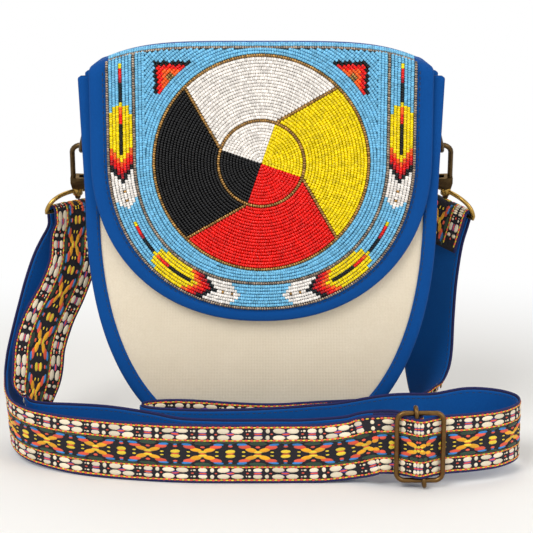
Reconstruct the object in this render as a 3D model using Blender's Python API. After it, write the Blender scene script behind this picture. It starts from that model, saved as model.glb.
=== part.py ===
"""Beaded crossbody bag with a bound canvas body, a rolled flap and a woven strap, in metres.

+X runs across the bag, +Y towards its back and +Z up. The bag stands on the two bound
flanges of its body, with its strap laid round it as it is put down on a table.
"""
from math import asin, atan2, cos, hypot, pi, radians, sin, sqrt, tan

import bmesh
import bpy
from mathutils import Matrix, Vector

# Body: two U-shaped panels, a recessed gusset and a bound flange round each panel
mouth_height = 0.2455
mouth_flare = 0.003
hip_height = 0.167
corner_power = 2.4
body_depth = 0.045
foot_flat = 0.0015
panel_thickness = 0.0012
panel_bulge = 0.0010
gusset_thickness = 0.0010
gusset_lip = 0.0078
pouch_lining_thickness = 0.0008
binding_width = 0.009
binding_wall = 0.0008
binding_web = 0.0012
binding_end_rise = 0.0045
binding_end_slope = 0.006
mouth_binding_drop = 0.008
mouth_binding_wall = 0.0005
mouth_binding_setback = 0.0125

# Flap: four layers that hang down the front and roll over the top to the back seam
flap_side_margin = 0.0075
flap_power = 2.2
crown_power = 4.4
flap_hip_drop = 0.0500
flap_crown_rise = 0.0192
flap_shoulder_rise = 0.0049
flap_front_roll = 0.0067
flap_back_roll = 0.0127
flap_bulge = 0.0030
flap_edge_inset = 0.0010
flap_lining_thickness = 0.0008
flap_stiffener_thickness = 0.0020
flap_face_thickness = 0.0010

# Beadwork: one layer of rows sewn on the flap's face
bead_height = 0.0014
bead_ridge = 0.0004
bead_row = 0.0020
border_side = 0.0105
border_bottom = 0.0080
bead_top_rise = 0.0078
band_width = 0.0165
wheel_side_room = 0.0110
wheel_top_room = 0.0051
wheel_bottom_room = 0.0081
wheel_radius = 0.0675
hub_radius = 0.0270
divider_width = 0.0018
wheel_rows = 19
hub_rows = 13
wheel_turn = radians(45)
hub_turn = radians(71)
quarter = radians(90)

# Feathers in the band, and the stepped triangles above the wheel
feather_top_drop = 0.0044
feather_spacing = 0.0072
feather_middle_room = 0.0105
upper_feather_share = 0.5210
stem_width = 0.0022
feather_margin = 0.0008
triangle_width = 0.0215
triangle_drop = 0.0215
triangle_margin = 0.0120
triangle_top_gap = 0.0064

# Closure: a magnetic snap behind the flap
snap_rise = 0.022
socket_radius = 0.009
socket_thickness = 0.0015
socket_recess_radius = 0.0040
socket_recess_depth = 0.0009
stud_plate_thickness = 0.0008
stud_radius = 0.0028
stud_length = 0.0009
stud_plate_radius = 0.008

# Side tabs and rings that carry the strap hooks
tab_width = 0.018
tab_thickness = 0.0020
tab_drop = 0.0225
ring_wire = 0.0015
ring_inner_width = 0.0205
ring_drop = 0.0275
ring_lean = radians(15)

# Swivel snap hooks
hook_wire = 0.0017
hook_throat = 0.0086
hook_nose_drop = 0.0040
hook_spine_length = 0.0200
block_height = 0.0090
block_thickness = 0.0054
block_foot_width = 0.0064
swivel_offset = 0.0035
gate_thickness = 0.0022
gate_arm_width = 0.0026
gate_eye_radius = 0.0021
gate_pin_radius = 0.0008
gate_pin_drop = 0.0028
post_radius = 0.0014
post_head_radius = 0.0020
post_seat_depth = 0.0035
collar_height = 0.0058
collar_radius = 0.0034
hook_lean = radians(31)
hook_splay = radians(3)

# Strap eyes: D loops that turn on the hooks' posts
eye_wire = 0.0016
eye_half_width = 0.0225
eye_drop = 0.0132
eye_power = 2.5
eye_yaw = radians(47)
left_eye_tilt = radians(18)
right_eye_tilt = radians(2)

# Strap: a woven band backed with a fabric lining
strap_width = 0.038
webbing_thickness = 0.0012
strap_lining_thickness = 0.0008
strap_step = 0.0140
strap_wrap_step = 0.0034
strap_end_fold = 0.0260

# Strap slider: a wire frame and a moving bar with an eye at each end
slider_width = 0.032
slider_wire = 0.0018
slider_corner = 0.0050
slider_side_gap = 0.0007
slider_bar_wire = 0.0014
slider_bar_slant = radians(7)
slider_across_share = 0.8435
slider_forward_share = -2.0

# Fits
gap = 0.0003
thread_gap = 0.0006
cut_over = 0.004

# Places worked out from the sizes above
field_half_width = wheel_radius + wheel_side_room
flap_half_width = field_half_width + bead_row + band_width + border_side
mouth_half_width = flap_half_width + flap_side_margin
hip_half_width = mouth_half_width - mouth_flare
flap_crown_height = mouth_height + flap_crown_rise
flap_shoulder_height = mouth_height + flap_shoulder_rise
flap_hip_height = mouth_height - flap_hip_drop
wheel_centre_height = flap_crown_height - wheel_top_room - wheel_radius
field_low = wheel_centre_height - wheel_radius - wheel_bottom_room
flap_lowest = field_low - bead_row - band_width - border_bottom
flap_curve_height = flap_hip_height - flap_lowest
triangle_side = field_half_width - triangle_margin
snap_height = flap_lowest + snap_rise
slider_centre_x = mouth_half_width * slider_across_share
slider_centre_y = body_depth * slider_forward_share
strap_thickness = webbing_thickness + gap + strap_lining_thickness
panel_face = body_depth / 2 - binding_wall - gap
lip_face = panel_face - panel_thickness - gap
binding_inside = lip_face - gusset_thickness - gap - binding_wall
gusset_inset = binding_width + gap
lining_inset = gusset_inset + gusset_thickness + gap
lining_face = panel_face - panel_thickness - gap
mouth_top = mouth_height + gap + mouth_binding_wall
flap_stack = flap_stiffener_thickness + gap + flap_lining_thickness
flap_front = body_depth / 2 + gap + flap_stack
face_base = gap
face_top = face_base + flap_face_thickness
bead_base = face_top + gap
bead_top = bead_base + bead_height
bead_middle = bead_base + bead_height / 2
hinge_height = mouth_height + gap + gap
hinge_y = body_depth / 2 + gap
flap_back = hinge_y - face_top
rib_gap = gap / 2
slider_inside = strap_width / 2 + slider_side_gap
slider_reach = slider_bar_wire + gap + slider_wire
slider_bottom = slider_wire + gap + 2 * slider_bar_wire
slider_centre_z = slider_bottom + slider_wire + slider_inside
bar_front_wrap = slider_bar_wire + thread_gap + strap_thickness / 2
eye_wrap = eye_wire + thread_gap + strap_thickness / 2
slider_post = slider_width / 2 - slider_wire
slider_ply = strap_thickness + 4 * thread_gap
behind_post = slider_wire + 2 * thread_gap + strap_thickness / 2


def clear_scene():
    """Remove every object and mesh that is already there."""
    for old in list(bpy.data.objects):
        bpy.data.objects.remove(old, do_unlink=True)


def new_collection(name):
    """Make one collection in the scene."""
    made = bpy.data.collections.new(name)
    bpy.context.scene.collection.children.link(made)
    return made


clear_scene()
parts = new_collection("beaded_crossbody_bag")
cutters = new_collection("cutters")


srgb_lift, srgb_power, srgb_toe, srgb_slope = 0.055, 2.4, 0.04, 12.92


def material(name, colour, roughness, metallic=0.0):
    """Make a plain surface with one colour, given as sRGB hex."""
    made = bpy.data.materials.new(name)
    made.use_nodes = True
    shader = made.node_tree.nodes["Principled BSDF"]
    channels = [int(colour[i:i + 2], 16) / 255 for i in (0, 2, 4)]
    linear = [((c + srgb_lift) / (1 + srgb_lift)) ** srgb_power if c > srgb_toe else c / srgb_slope
              for c in channels]
    shader.inputs["Base Color"].default_value = (*linear, 1.0)
    shader.inputs["Roughness"].default_value = roughness
    shader.inputs["Metallic"].default_value = metallic
    made.diffuse_color = (*linear, 1.0)
    return made


canvas = material("canvas", "D9CDB9", 0.9)
blue_cloth = material("blue_cloth", "1257A0", 0.75)
cotton_lining = material("cotton_lining", "1D5FA8", 0.85)
board = material("board", "E4E0D6", 0.95)
webbing_cloth = material("webbing_cloth", "2A2338", 0.9)
brass = material("brass", "7A6136", 0.4, 0.9)
steel = material("steel", "B8B9BB", 0.3, 1.0)
sky_bead = material("sky_bead", "6FB9DE", 0.25)
gold_bead = material("gold_bead", "A3834C", 0.3, 0.5)
white_bead = material("white_bead", "ECE7E2", 0.25)
yellow_bead = material("yellow_bead", "F2D800", 0.25)
red_bead = material("red_bead", "E01810", 0.25)
black_bead = material("black_bead", "101012", 0.25)


def add_object(name, mesh, surface, collection=parts):
    """Link a mesh as one named object."""
    made = bpy.data.objects.new(name, mesh)
    mesh.materials.clear()
    if surface:
        mesh.materials.append(surface)
    collection.objects.link(made)
    if collection == cutters:
        made.hide_render = True
        made.display_type = "WIRE"
    return made


def loft(name, rings, surface, closed=False, smooth_angle=None, collection=parts, triangles=False):
    """Skin rings of equally many points, capped unless the run is closed, in quads or like-cut triangles."""
    shape = bmesh.new()
    rows = [[shape.verts.new(point) for point in ring] for ring in rings]
    count = len(rows[0])
    pairs = list(zip(rows, rows[1:]))
    if closed:
        pairs.append((rows[-1], rows[0]))
    for near, far in pairs:
        for i in range(count):
            j = (i + 1) % count
            if not triangles:
                shape.faces.new((near[i], near[j], far[j], far[i]))
            elif i < count / 2:
                shape.faces.new((near[i], near[j], far[j]))
                shape.faces.new((near[i], far[j], far[i]))
            else:
                shape.faces.new((near[i], near[j], far[i]))
                shape.faces.new((near[j], far[j], far[i]))
    if not closed:
        shape.faces.new(list(reversed(rows[0])))
        shape.faces.new(rows[-1])
    bmesh.ops.recalc_face_normals(shape, faces=shape.faces)
    mesh = bpy.data.meshes.new(name)
    shape.to_mesh(mesh)
    shape.free()
    if smooth_angle is not None:
        mesh.shade_smooth()
        mesh.set_sharp_from_angle(angle=smooth_angle)
    return add_object(name, mesh, surface, collection)


def wire(name, points, radius, surface, closed=False, resolution=2, collection=parts):
    """Make a round wire along the points, as a mesh with welded caps."""
    path = bpy.data.curves.new(name, "CURVE")
    path.dimensions = "3D"
    path.bevel_depth = radius
    path.bevel_resolution = resolution
    path.use_fill_caps = True
    spline = path.splines.new("POLY")
    spline.points.add(len(points) - 1)
    for slot, point in zip(spline.points, points):
        slot.co = (*point, 1.0)
    spline.use_cyclic_u = closed
    guide = bpy.data.objects.new(name + "_path", path)
    cutters.objects.link(guide)
    bpy.context.view_layer.update()
    mesh = bpy.data.meshes.new_from_object(guide.evaluated_get(bpy.context.evaluated_depsgraph_get()))
    bpy.data.objects.remove(guide, do_unlink=True)
    bpy.data.curves.remove(path)
    shape = bmesh.new()
    shape.from_mesh(mesh)
    bmesh.ops.remove_doubles(shape, verts=shape.verts, dist=radius / 100)
    bmesh.ops.recalc_face_normals(shape, faces=shape.faces)
    shape.to_mesh(mesh)
    shape.free()
    mesh.name = name
    mesh.shade_smooth()
    mesh.set_sharp_from_angle(angle=radians(40))
    return add_object(name, mesh, surface, collection)


def turned(name, radius, bottom, top, surface, sides=20, collection=parts, upper=None):
    """Make a cylinder or cone along its own Z, between two heights."""
    shape = bmesh.new()
    bmesh.ops.create_cone(shape, cap_ends=True, segments=sides, radius1=radius,
                          radius2=radius if upper is None else upper, depth=top - bottom)
    bmesh.ops.translate(shape, verts=shape.verts, vec=(0, 0, (top + bottom) / 2))
    mesh = bpy.data.meshes.new(name)
    shape.to_mesh(mesh)
    shape.free()
    mesh.shade_smooth()
    mesh.set_sharp_from_angle(angle=radians(40))
    return add_object(name, mesh, surface, collection)


def combine(target, tool, operation):
    """Apply a Boolean of the tool to the target, and keep the tool among the cutters."""
    if tool.name in parts.objects:
        parts.objects.unlink(tool)
        cutters.objects.link(tool)
        tool.hide_render = True
        tool.display_type = "WIRE"
    change = target.modifiers.new(tool.name, "BOOLEAN")
    change.operation = operation
    change.solver = "EXACT"
    change.object = tool


def u_point(share, inset):
    """Give x and z on the body's outline, from one mouth corner (0) to the other (1)."""
    side = -1 if share < 0.5 else 1
    along = min(share, 1 - share) * 2
    straight_share = 0.32
    if along < straight_share:
        top = mouth_height + binding_end_rise - binding_end_slope * inset / binding_width
        z = top + (hip_height - top) * along / straight_share
        half = hip_half_width + (mouth_half_width - hip_half_width) * (
            (z - hip_height) / (mouth_height - hip_height))
        return side * (half - inset), z
    angle = (along - straight_share) / (1 - straight_share) * pi / 2
    x = (hip_half_width - inset) * max(cos(angle), 0) ** (2 / corner_power)
    z = hip_height - (hip_height + foot_flat - inset) * sin(angle) ** (2 / corner_power)
    return side * x, max(z, inset)


def body_half_width(z, inset):
    """Give the body outline's half width at a height, drawn in by the inset."""
    if z >= hip_height:
        half = hip_half_width + (mouth_half_width - hip_half_width) * (
            (z - hip_height) / (mouth_height - hip_height))
        return half - inset
    reach = min((hip_height - z) / (hip_height + foot_flat - inset), 1)
    return (hip_half_width - inset) * (1 - reach ** corner_power) ** (1 / corner_power)


def bulge(x, z, depth):
    """Give how far a soft front stands out at a place inside the bound edge."""
    inside = body_half_width(z, binding_width) if z > binding_width else 0
    if z >= mouth_height or abs(x) >= inside:
        return 0.0
    return depth * (1 - (x / inside) ** 2) ** 2 * sin(pi * z / mouth_height) ** 2


u_shares = [i / 30 for i in range(31)]


def u_channel(name, section, surface, top=None):
    """Sweep a section of (inset, y) points round the body's outline."""
    rings = []
    for share in u_shares:
        ring = []
        for inset, y in section:
            x, z = u_point(share, inset)
            ring.append((x, y, z if top is None else min(z, top)))
        rings.append(ring)
    return loft(name, rings, surface, smooth_angle=radians(35))


def body_panel(name, side, bulge_depth):
    """Make one canvas panel: flat in its bound edge, and slightly full inside it."""
    inset = binding_web + gap
    corners = [u_point(share, inset) for share in u_shares if share < 0.5]
    across = [i / 4 - 1 for i in range(9)]
    rings = []
    for x, z in corners:
        z = min(z, mouth_height)
        outer = [(-x * u, side * (panel_face + bulge(-x * u, z, bulge_depth)), z) for u in across]
        inner = [(x, y - side * panel_thickness, z) for x, y, z in reversed(outer)]
        rings.append(outer + inner)
        if z <= inset:
            break
    return loft(name, rings, canvas, smooth_angle=radians(35))


def bound_flange(name, side):
    """Make the folded binding that closes over a panel's edge and the gusset's lip."""
    outside = side * body_depth / 2
    inside = side * binding_inside
    wall = side * binding_wall
    section = [
        (0, outside), (0, inside), (binding_width, inside), (binding_width, inside + wall),
        (binding_web, inside + wall), (binding_web, outside - wall),
        (binding_width, outside - wall), (binding_width, outside)]
    return u_channel(name, section, blue_cloth)


def body_gusset():
    """Make the gusset: a recessed web with a lip turned out along each panel."""
    web = gusset_inset
    back = gusset_inset + gusset_thickness
    lip = gusset_inset - gusset_lip
    inner = lip_face - gusset_thickness
    section = [
        (lip, -lip_face), (back, -lip_face), (back, lip_face), (lip, lip_face),
        (lip, inner), (web, inner), (web, -inner), (lip, -inner)]
    return u_channel("gusset", section, canvas, top=mouth_height)


def pouch_lining():
    """Make the inside bag, open at the mouth."""
    def slab(name, inset, half_depth, top, surface, collection):
        low = [u_point(share, inset) for share in u_shares]
        outline = [(x, min(z, top)) for x, z in low]
        outline[0] = (outline[0][0], top)
        outline[-1] = (outline[-1][0], top)
        rings = [[(x, y, z) for x, z in outline] for y in (-half_depth, half_depth)]
        return loft(name, rings, surface, collection=collection)

    shell = slab("pouch_lining", lining_inset, lining_face, mouth_height, cotton_lining, parts)
    wall = pouch_lining_thickness
    hollow = slab("pouch_hollow", lining_inset + wall, lining_face - wall,
                  mouth_height + cut_over, None, cutters)
    combine(shell, hollow, "DIFFERENCE")


def mouth_binding():
    """Make the binding folded over the top of the front panel and its lining."""
    outer = panel_face + gap + mouth_binding_wall
    inner = lining_face - pouch_lining_thickness - gap
    low = mouth_height - mouth_binding_drop
    under = mouth_height + gap
    thin = mouth_binding_wall
    section = [(-outer, low), (-outer, mouth_top), (thin - inner, mouth_top), (thin - inner, low),
               (-inner, low), (-inner, under), (thin - outer, under), (thin - outer, low)]
    half = mouth_half_width - mouth_binding_setback
    rings = [[(x, y, z) for y, z in section] for x in (-half, half)]
    return loft("mouth_binding", rings, blue_cloth)


def crown(x):
    """Give the height of the flap's top over a place across it."""
    share = min(abs(x) / flap_half_width, 1)
    return flap_shoulder_height + (flap_crown_height - flap_shoulder_height) * (1 - share ** crown_power)


def front_top(x):
    """Give the height where the flap's front starts to roll over."""
    return crown(x) - min(flap_front_roll, crown(x) - hinge_height)


def on_flap(x, v, t):
    """Place a point on the flap: v is height on the front, and runs on round the bead rows' roll."""
    roll = crown(x) - front_top(x)
    start = front_top(x)
    if v <= start:
        return Vector((x, -flap_front - t - bulge(x, v, flap_bulge), v))
    angle = min((v - start) / (roll + bead_middle), pi / 2)
    reach = roll + t
    return Vector((x, -flap_front + roll - reach * cos(angle), start + reach * sin(angle)))


def flap_profile(x, low, t):
    """Give one column of the flap, from the back seam over the top to its lower edge."""
    top = crown(x)
    back_roll = min(flap_back_roll, top - hinge_height)
    arc_shares = [i / 3 for i in range(4)]
    points = [Vector((x, flap_back + t, hinge_height))]
    for share in arc_shares:
        angle = share * pi / 2
        points.append(Vector((x, flap_back - back_roll + (back_roll + t) * cos(angle),
                              top - back_roll + (back_roll + t) * sin(angle))))
    start = front_top(x)
    for share in arc_shares:
        points.append(on_flap(x, start + (1 - share) * pi / 2 * (top - start + bead_middle), t))
    for i in range(1, 7):
        points.append(on_flap(x, start + (low - start) * i / 6, t))
    return points


def flap_low(x, inset):
    """Give the height of the flap's lower edge, drawn in by the inset."""
    share = min(abs(x) / (flap_half_width - inset), 1)
    return flap_hip_height - (flap_curve_height - inset) * (1 - share ** flap_power) ** (1 / flap_power)


def flap_layer(name, inset, inner, outer, surface):
    """Make one sheet of the flap between two distances from the stiffener's face."""
    half = flap_half_width - inset
    rings = []
    for i in range(19):
        angle = pi * i / 18
        x = -half * (1 if cos(angle) > 0 else -1) * abs(cos(angle)) ** (2 / flap_power)
        low = flap_low(x, inset)
        outside = flap_profile(x, low, outer)
        inside = flap_profile(x, low, inner)
        rings.append(outside + list(reversed(inside)))
    return loft(name, rings, surface, smooth_angle=radians(35))


def field_point(share, depth):
    """Give (x, v) on the bead field's U, from its top left (0) to its top right (1)."""
    half = flap_half_width - border_side - depth
    drop = flap_curve_height - border_bottom - depth
    side = -1 if share < 0.5 else 1
    along = min(share, 1 - share) * 2
    straight_share = 0.36
    if along < straight_share:
        top = field_top(half, bead_row + gap)
        return side * half, top + (flap_hip_height - top) * along / straight_share
    angle = (along - straight_share) / (1 - straight_share) * pi / 2
    x = half * max(cos(angle), 0) ** (2 / flap_power)
    return side * x, flap_hip_height - drop * sin(angle) ** (2 / flap_power)


def field_top(x, depth):
    """Give v at the top edge of the bead field, drawn down by the depth."""
    return front_top(x) + bead_top_rise - depth


def bead_lane(name, stations, surface, closed=False, low=bead_base, high=bead_top, collection=parts):
    """Make a strip of beadwork through stations of a left and a right (x, v) point."""
    rings = []
    for left, right in stations:
        across = [left, right]
        ring = [on_flap(x, v, high) for x, v in across]
        ring += [on_flap(x, v, low) for x, v in reversed(across)]
        rings.append(ring)
    return loft(name, rings, surface, closed=closed, collection=collection)


roll_shares = [i * 0.0061 for i in range(4)]
lane_shares = roll_shares + [i / 28 for i in range(1, 28)] + [1 - share for share in reversed(roll_shares)]


def outer_bead_row():
    """Make the row that edges the whole bead field, top included."""
    stations = []
    for share in lane_shares:
        outer = field_point(share, 0)
        inner = field_point(share, bead_row)
        if share in (0, 1):
            outer = (outer[0], field_top(outer[0], 0))
            inner = (inner[0], field_top(inner[0], bead_row))
        stations.append((outer, inner))
    half = flap_half_width - border_side - bead_row
    for i in range(1, 12):
        x = half * cos(pi * i / 12)
        stations.append(((x, field_top(x, 0)), (x, field_top(x, bead_row))))
    return bead_lane("outer_bead_row", stations, gold_bead, closed=True)


def inner_bead_row():
    """Make the row between the feather band and the field round the wheel."""
    stations = [(field_point(share, band_width), field_point(share, band_width + bead_row))
                for share in lane_shares]
    return bead_lane("inner_bead_row", stations, gold_bead)


def band_path(distance):
    """Give a band centre point and its inward direction, by distance from the top left."""
    depth = (band_width + bead_row) / 2
    steps = 400
    walked = 0.0
    before = field_point(0, depth)
    for i in range(1, steps + 1):
        here = field_point(i / steps, depth)
        step = hypot(here[0] - before[0], here[1] - before[1])
        if walked + step >= distance:
            along = Vector((here[0] - before[0], here[1] - before[1])).normalized()
            start = Vector(before) + along * (distance - walked)
            return start, Vector((-along.y, along.x))
        walked += step
        before = here
    return Vector(before), Vector((-1, 0))


feather_shares = [(0.0, 0.0), (0.05, 0.0), (0.31, 0.0), (0.335, 1.0), (0.50, 1.0), (0.66, 1.0), (0.80, 1.0),
                  (0.88, 0.75), (0.94, 0.4), (1.0, 0.0)]


def feather_places():
    """Share the band's half length between an upper and a lower feather, as name, start and length."""
    depth = (band_width + bead_row) / 2
    steps = 200
    points = [Vector(field_point(i / steps / 2, depth)) for i in range(steps + 1)]
    half = sum((after - before).length for before, after in zip(points, points[1:]))
    both = half - feather_top_drop - feather_spacing - feather_middle_room
    upper = both * upper_feather_share
    return [("upper", feather_top_drop, upper),
            ("lower", feather_top_drop + upper + feather_spacing, both - upper)]


def feather_stations(start, length, grow, mirror):
    """Give a feather's stations along the band: a stem, a full plume and a stepped tip."""
    room = band_width - bead_row - 2 * (gap + gap + feather_margin)
    stations = []
    for along, full in feather_shares:
        push = grow if along == 1 else (-grow if along == 0 else 0)
        centre, inward = band_path(start + length * along + push)
        half = (stem_width + (room - stem_width) * full) / 2 + grow
        left = centre - inward * half
        right = centre + inward * half
        stations.append(((mirror * left.x, left.y), (mirror * right.x, right.y)))
    return stations


def feathers_and_band():
    """Make the band of beads with its four feathers set into it."""
    stations = [(field_point(share, bead_row + gap), field_point(share, band_width - gap))
                for share in lane_shares]
    band = bead_lane("band_beads", stations, sky_bead)
    for place, start, length in feather_places():
        for side, mirror in (("left", 1), ("right", -1)):
            bead_lane(f"{place}_{side}_feather", feather_stations(start, length, 0, mirror), yellow_bead)
            hole = bead_lane(f"{place}_{side}_feather_hole", feather_stations(start, length, gap, mirror),
                             None, low=bead_base - cut_over / 4, high=bead_top + cut_over,
                             collection=cutters)
            combine(band, hole, "DIFFERENCE")


def triangle_stations(mirror, grow):
    """Give a corner triangle's rows, square to the side and along the top."""
    top = field_top(triangle_side, bead_row) - triangle_top_gap
    stations = []
    for share in (0, 0.2, 0.4, 0.6, 0.8, 1):
        width = triangle_width * (1 - share) + stem_width * share
        reach = grow if share == 1 else (-grow if share == 0 else 0)
        v = top - triangle_drop * share - reach
        outer = -triangle_side - grow
        inner = -triangle_side + width + 2 * grow
        stations.append(((mirror * outer, v), (mirror * inner, v)))
    return stations


def field_beads():
    """Make the field of beads round the wheel, with the two corner triangles set in."""
    depth = band_width + bead_row + gap
    half = flap_half_width - border_side - depth
    drop = flap_curve_height - border_bottom - depth
    rings = []
    for i in range(21):
        angle = pi * i / 20
        x = -half * (1 if cos(angle) > 0 else -1) * abs(cos(angle)) ** (2 / flap_power)
        low = flap_hip_height - drop * (1 - min(abs(x) / half, 1) ** flap_power) ** (1 / flap_power)
        top = field_top(x, bead_row + gap)
        start = front_top(x)
        column = [top + (start - top) * i / 3 for i in range(4)]
        column += [start + (low - start) * i / 5 for i in range(1, 6)]
        rings.append([on_flap(x, v, bead_top) for v in column]
                     + [on_flap(x, v, bead_base) for v in reversed(column)])
    field = loft("field_beads", rings, sky_bead)
    window = turned("wheel_window", wheel_radius + bead_row / 2 + gap, -cut_over, cut_over * 2, None,
                    sides=64, collection=cutters)
    window.location = (0, -flap_front - bead_base, wheel_centre_height)
    window.rotation_euler = (pi / 2, 0, 0)
    combine(field, window, "DIFFERENCE")
    for side, mirror in (("left", 1), ("right", -1)):
        bead_lane(f"{side}_triangle", triangle_stations(mirror, 0), red_bead)
        hole = bead_lane(f"{side}_triangle_hole", triangle_stations(mirror, gap), None,
                         low=bead_base - cut_over / 4, high=bead_top + cut_over, collection=cutters)
        combine(field, hole, "DIFFERENCE")


def on_wheel(radius, angle):
    """Give (x, v) of a place on the wheel."""
    return radius * cos(angle), wheel_centre_height + radius * sin(angle)


def edge_angle(turn_out, turn_in, outer, inner, radius, shift):
    """Give the angle where a straight edge, moved sideways by the shift, crosses a radius."""
    far = Vector((outer * cos(turn_out), outer * sin(turn_out)))
    near = Vector((inner * cos(turn_in), inner * sin(turn_in)))
    along = (near - far).normalized()
    aside = Vector((along.y, -along.x))
    base = far + aside * shift
    slope = base.dot(along)
    reach = -slope - sqrt(max(slope ** 2 - base.length_squared + radius ** 2, 0))
    place = base + along * reach
    return atan2(place.y, place.x)


def ridged_ring(radii, angles):
    """Give one cross-section of ridged beadwork, with a ridge for every row of beads."""
    top = []
    for i, (radius, angle) in enumerate(zip(radii, angles)):
        lift = bead_top if i % 2 else bead_top - bead_ridge
        top.append(on_flap(*on_wheel(radius, angle), lift))
    floor = [on_flap(*on_wheel(radii[i], angles[i]), bead_base) for i in (-1, len(radii) // 2, 0)]
    return top + floor


def wheel_part(name, surface, inner, outer, rows, edges, steps):
    """Make one quarter of a ring of beadwork between two edges."""
    radii = [inner + (outer - inner) * i / (2 * rows) for i in range(2 * rows + 1)]
    rings = []
    for step in range(steps + 1):
        share = step / steps
        angles = []
        for radius in radii:
            first = edges[0](radius)
            last = edges[1](radius)
            while last < first:
                last += 2 * pi
            angles.append(first + (last - first) * share)
        rings.append(ridged_ring(radii, angles))
    return loft(name, rings, surface)


def wheel():
    """Make the four-colour wheel: a turned ring, a hub and the gold rows between them."""
    for name, radius in (("wheel_rim_row", wheel_radius), ("hub_rim_row", hub_radius)):
        sides = 56 if radius == wheel_radius else 32
        stations = []
        for i in range(sides):
            angle = 2 * pi * i / sides
            stations.append((on_wheel(radius - bead_row / 2, angle), on_wheel(radius + bead_row / 2, angle)))
        bead_lane(name, stations, gold_bead, closed=True)

    outer = wheel_radius - bead_row / 2 - gap
    inner = hub_radius + bead_row / 2 + gap
    edge_room = divider_width / 2 + gap
    colours = [("yellow", yellow_bead), ("white", white_bead), ("black", black_bead), ("red", red_bead)]
    for i, (name, surface) in enumerate(colours):
        first = wheel_turn + (i - 1) * quarter
        last = first + quarter
        swing = hub_turn - wheel_turn

        def start_edge(radius, first=first):
            return edge_angle(first, first + swing, wheel_radius, hub_radius, radius, edge_room)

        def end_edge(radius, last=last):
            return edge_angle(last, last + swing, wheel_radius, hub_radius, radius, -edge_room)

        wheel_part(f"{name}_ring_beads", surface, inner, outer, wheel_rows, (start_edge, end_edge), 6)

        def hub_start(radius, first=first):
            return first + swing + asin(min(rib_gap / radius, 1))

        def hub_end(radius, last=last):
            return last + swing - asin(min(rib_gap / radius, 1))

        wheel_part(f"{name}_hub_beads", surface, bead_row / 2, hub_radius - bead_row / 2 - gap,
                   hub_rows, (hub_start, hub_end), 4)

        stations = []
        for share in (0, 0.25, 0.5, 0.75, 1):
            radius = outer + (inner - outer) * share
            left = edge_angle(last, last + swing, wheel_radius, hub_radius, radius, divider_width / 2)
            right = edge_angle(last, last + swing, wheel_radius, hub_radius, radius, -divider_width / 2)
            stations.append((on_wheel(radius, left), on_wheel(radius, right)))
        bead_lane(f"{name}_divider_row", stations, gold_bead)


def snap_closure():
    """Make the magnetic snap: a socket on the front panel and a stud behind the flap."""
    turn = Matrix.Rotation(pi / 2, 4, "X")
    panel_y = -panel_face - bulge(0, snap_height, panel_bulge) - gap
    socket = turned("snap_socket", socket_radius, 0, socket_thickness, steel, sides=24)
    recess = turned("socket_recess", socket_recess_radius, socket_thickness - socket_recess_depth,
                    socket_thickness + cut_over, None, collection=cutters)
    for piece in (socket, recess):
        piece.matrix_world = Matrix.Translation((0, panel_y, snap_height)) @ turn
    combine(socket, recess, "DIFFERENCE")

    flap_y = -body_depth / 2 - gap - bulge(0, snap_height, flap_bulge) + gap
    plate = turned("snap_stud", stud_plate_radius, -stud_plate_thickness, 0, steel, sides=24)
    stud = turned("stud_boss", stud_radius, -stud_plate_thickness - stud_length, -stud_plate_thickness / 2,
                  steel, sides=16)
    for piece in (plate, stud):
        piece.matrix_world = Matrix.Translation((0, flap_y, snap_height)) @ turn
    combine(plate, stud, "UNION")


def outline_plate(name, outline, thickness, surface, hole=None, collection=parts):
    """Make a flat plate in the XZ plane, centred on y = 0, from a closed outline of (x, z)."""
    flat = bpy.data.curves.new(name, "CURVE")
    flat.dimensions = "2D"
    flat.fill_mode = "BOTH"
    flat.extrude = thickness / 2
    for loop in [outline] + ([hole] if hole else []):
        spline = flat.splines.new("POLY")
        spline.points.add(len(loop) - 1)
        for slot, (x, z) in zip(spline.points, loop):
            slot.co = (x, z, 0, 1)
        spline.use_cyclic_u = True
    guide = bpy.data.objects.new(name + "_outline", flat)
    cutters.objects.link(guide)
    bpy.context.view_layer.update()
    mesh = bpy.data.meshes.new_from_object(guide.evaluated_get(bpy.context.evaluated_depsgraph_get()))
    bpy.data.objects.remove(guide, do_unlink=True)
    bpy.data.curves.remove(flat)
    shape = bmesh.new()
    shape.from_mesh(mesh)
    bmesh.ops.remove_doubles(shape, verts=shape.verts, dist=thickness / 100)
    bmesh.ops.rotate(shape, verts=shape.verts, cent=(0, 0, 0), matrix=Matrix.Rotation(pi / 2, 3, "X"))
    bmesh.ops.recalc_face_normals(shape, faces=shape.faces)
    shape.to_mesh(mesh)
    shape.free()
    mesh.name = name
    return add_object(name, mesh, surface, collection)


def arc(centre, radius, start, end, steps):
    """Give points on a flat arc, in degrees."""
    return [(centre[0] + radius * cos(radians(start + (end - start) * i / steps)),
             centre[1] + radius * sin(radians(start + (end - start) * i / steps)))
            for i in range(steps + 1)]


ring_pivot_z = mouth_height - tab_drop
tab_inner = mouth_half_width - gusset_inset + gap
tab_eye = ring_wire + gap
ring_pivot_x = tab_inner + tab_thickness + tab_eye


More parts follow.
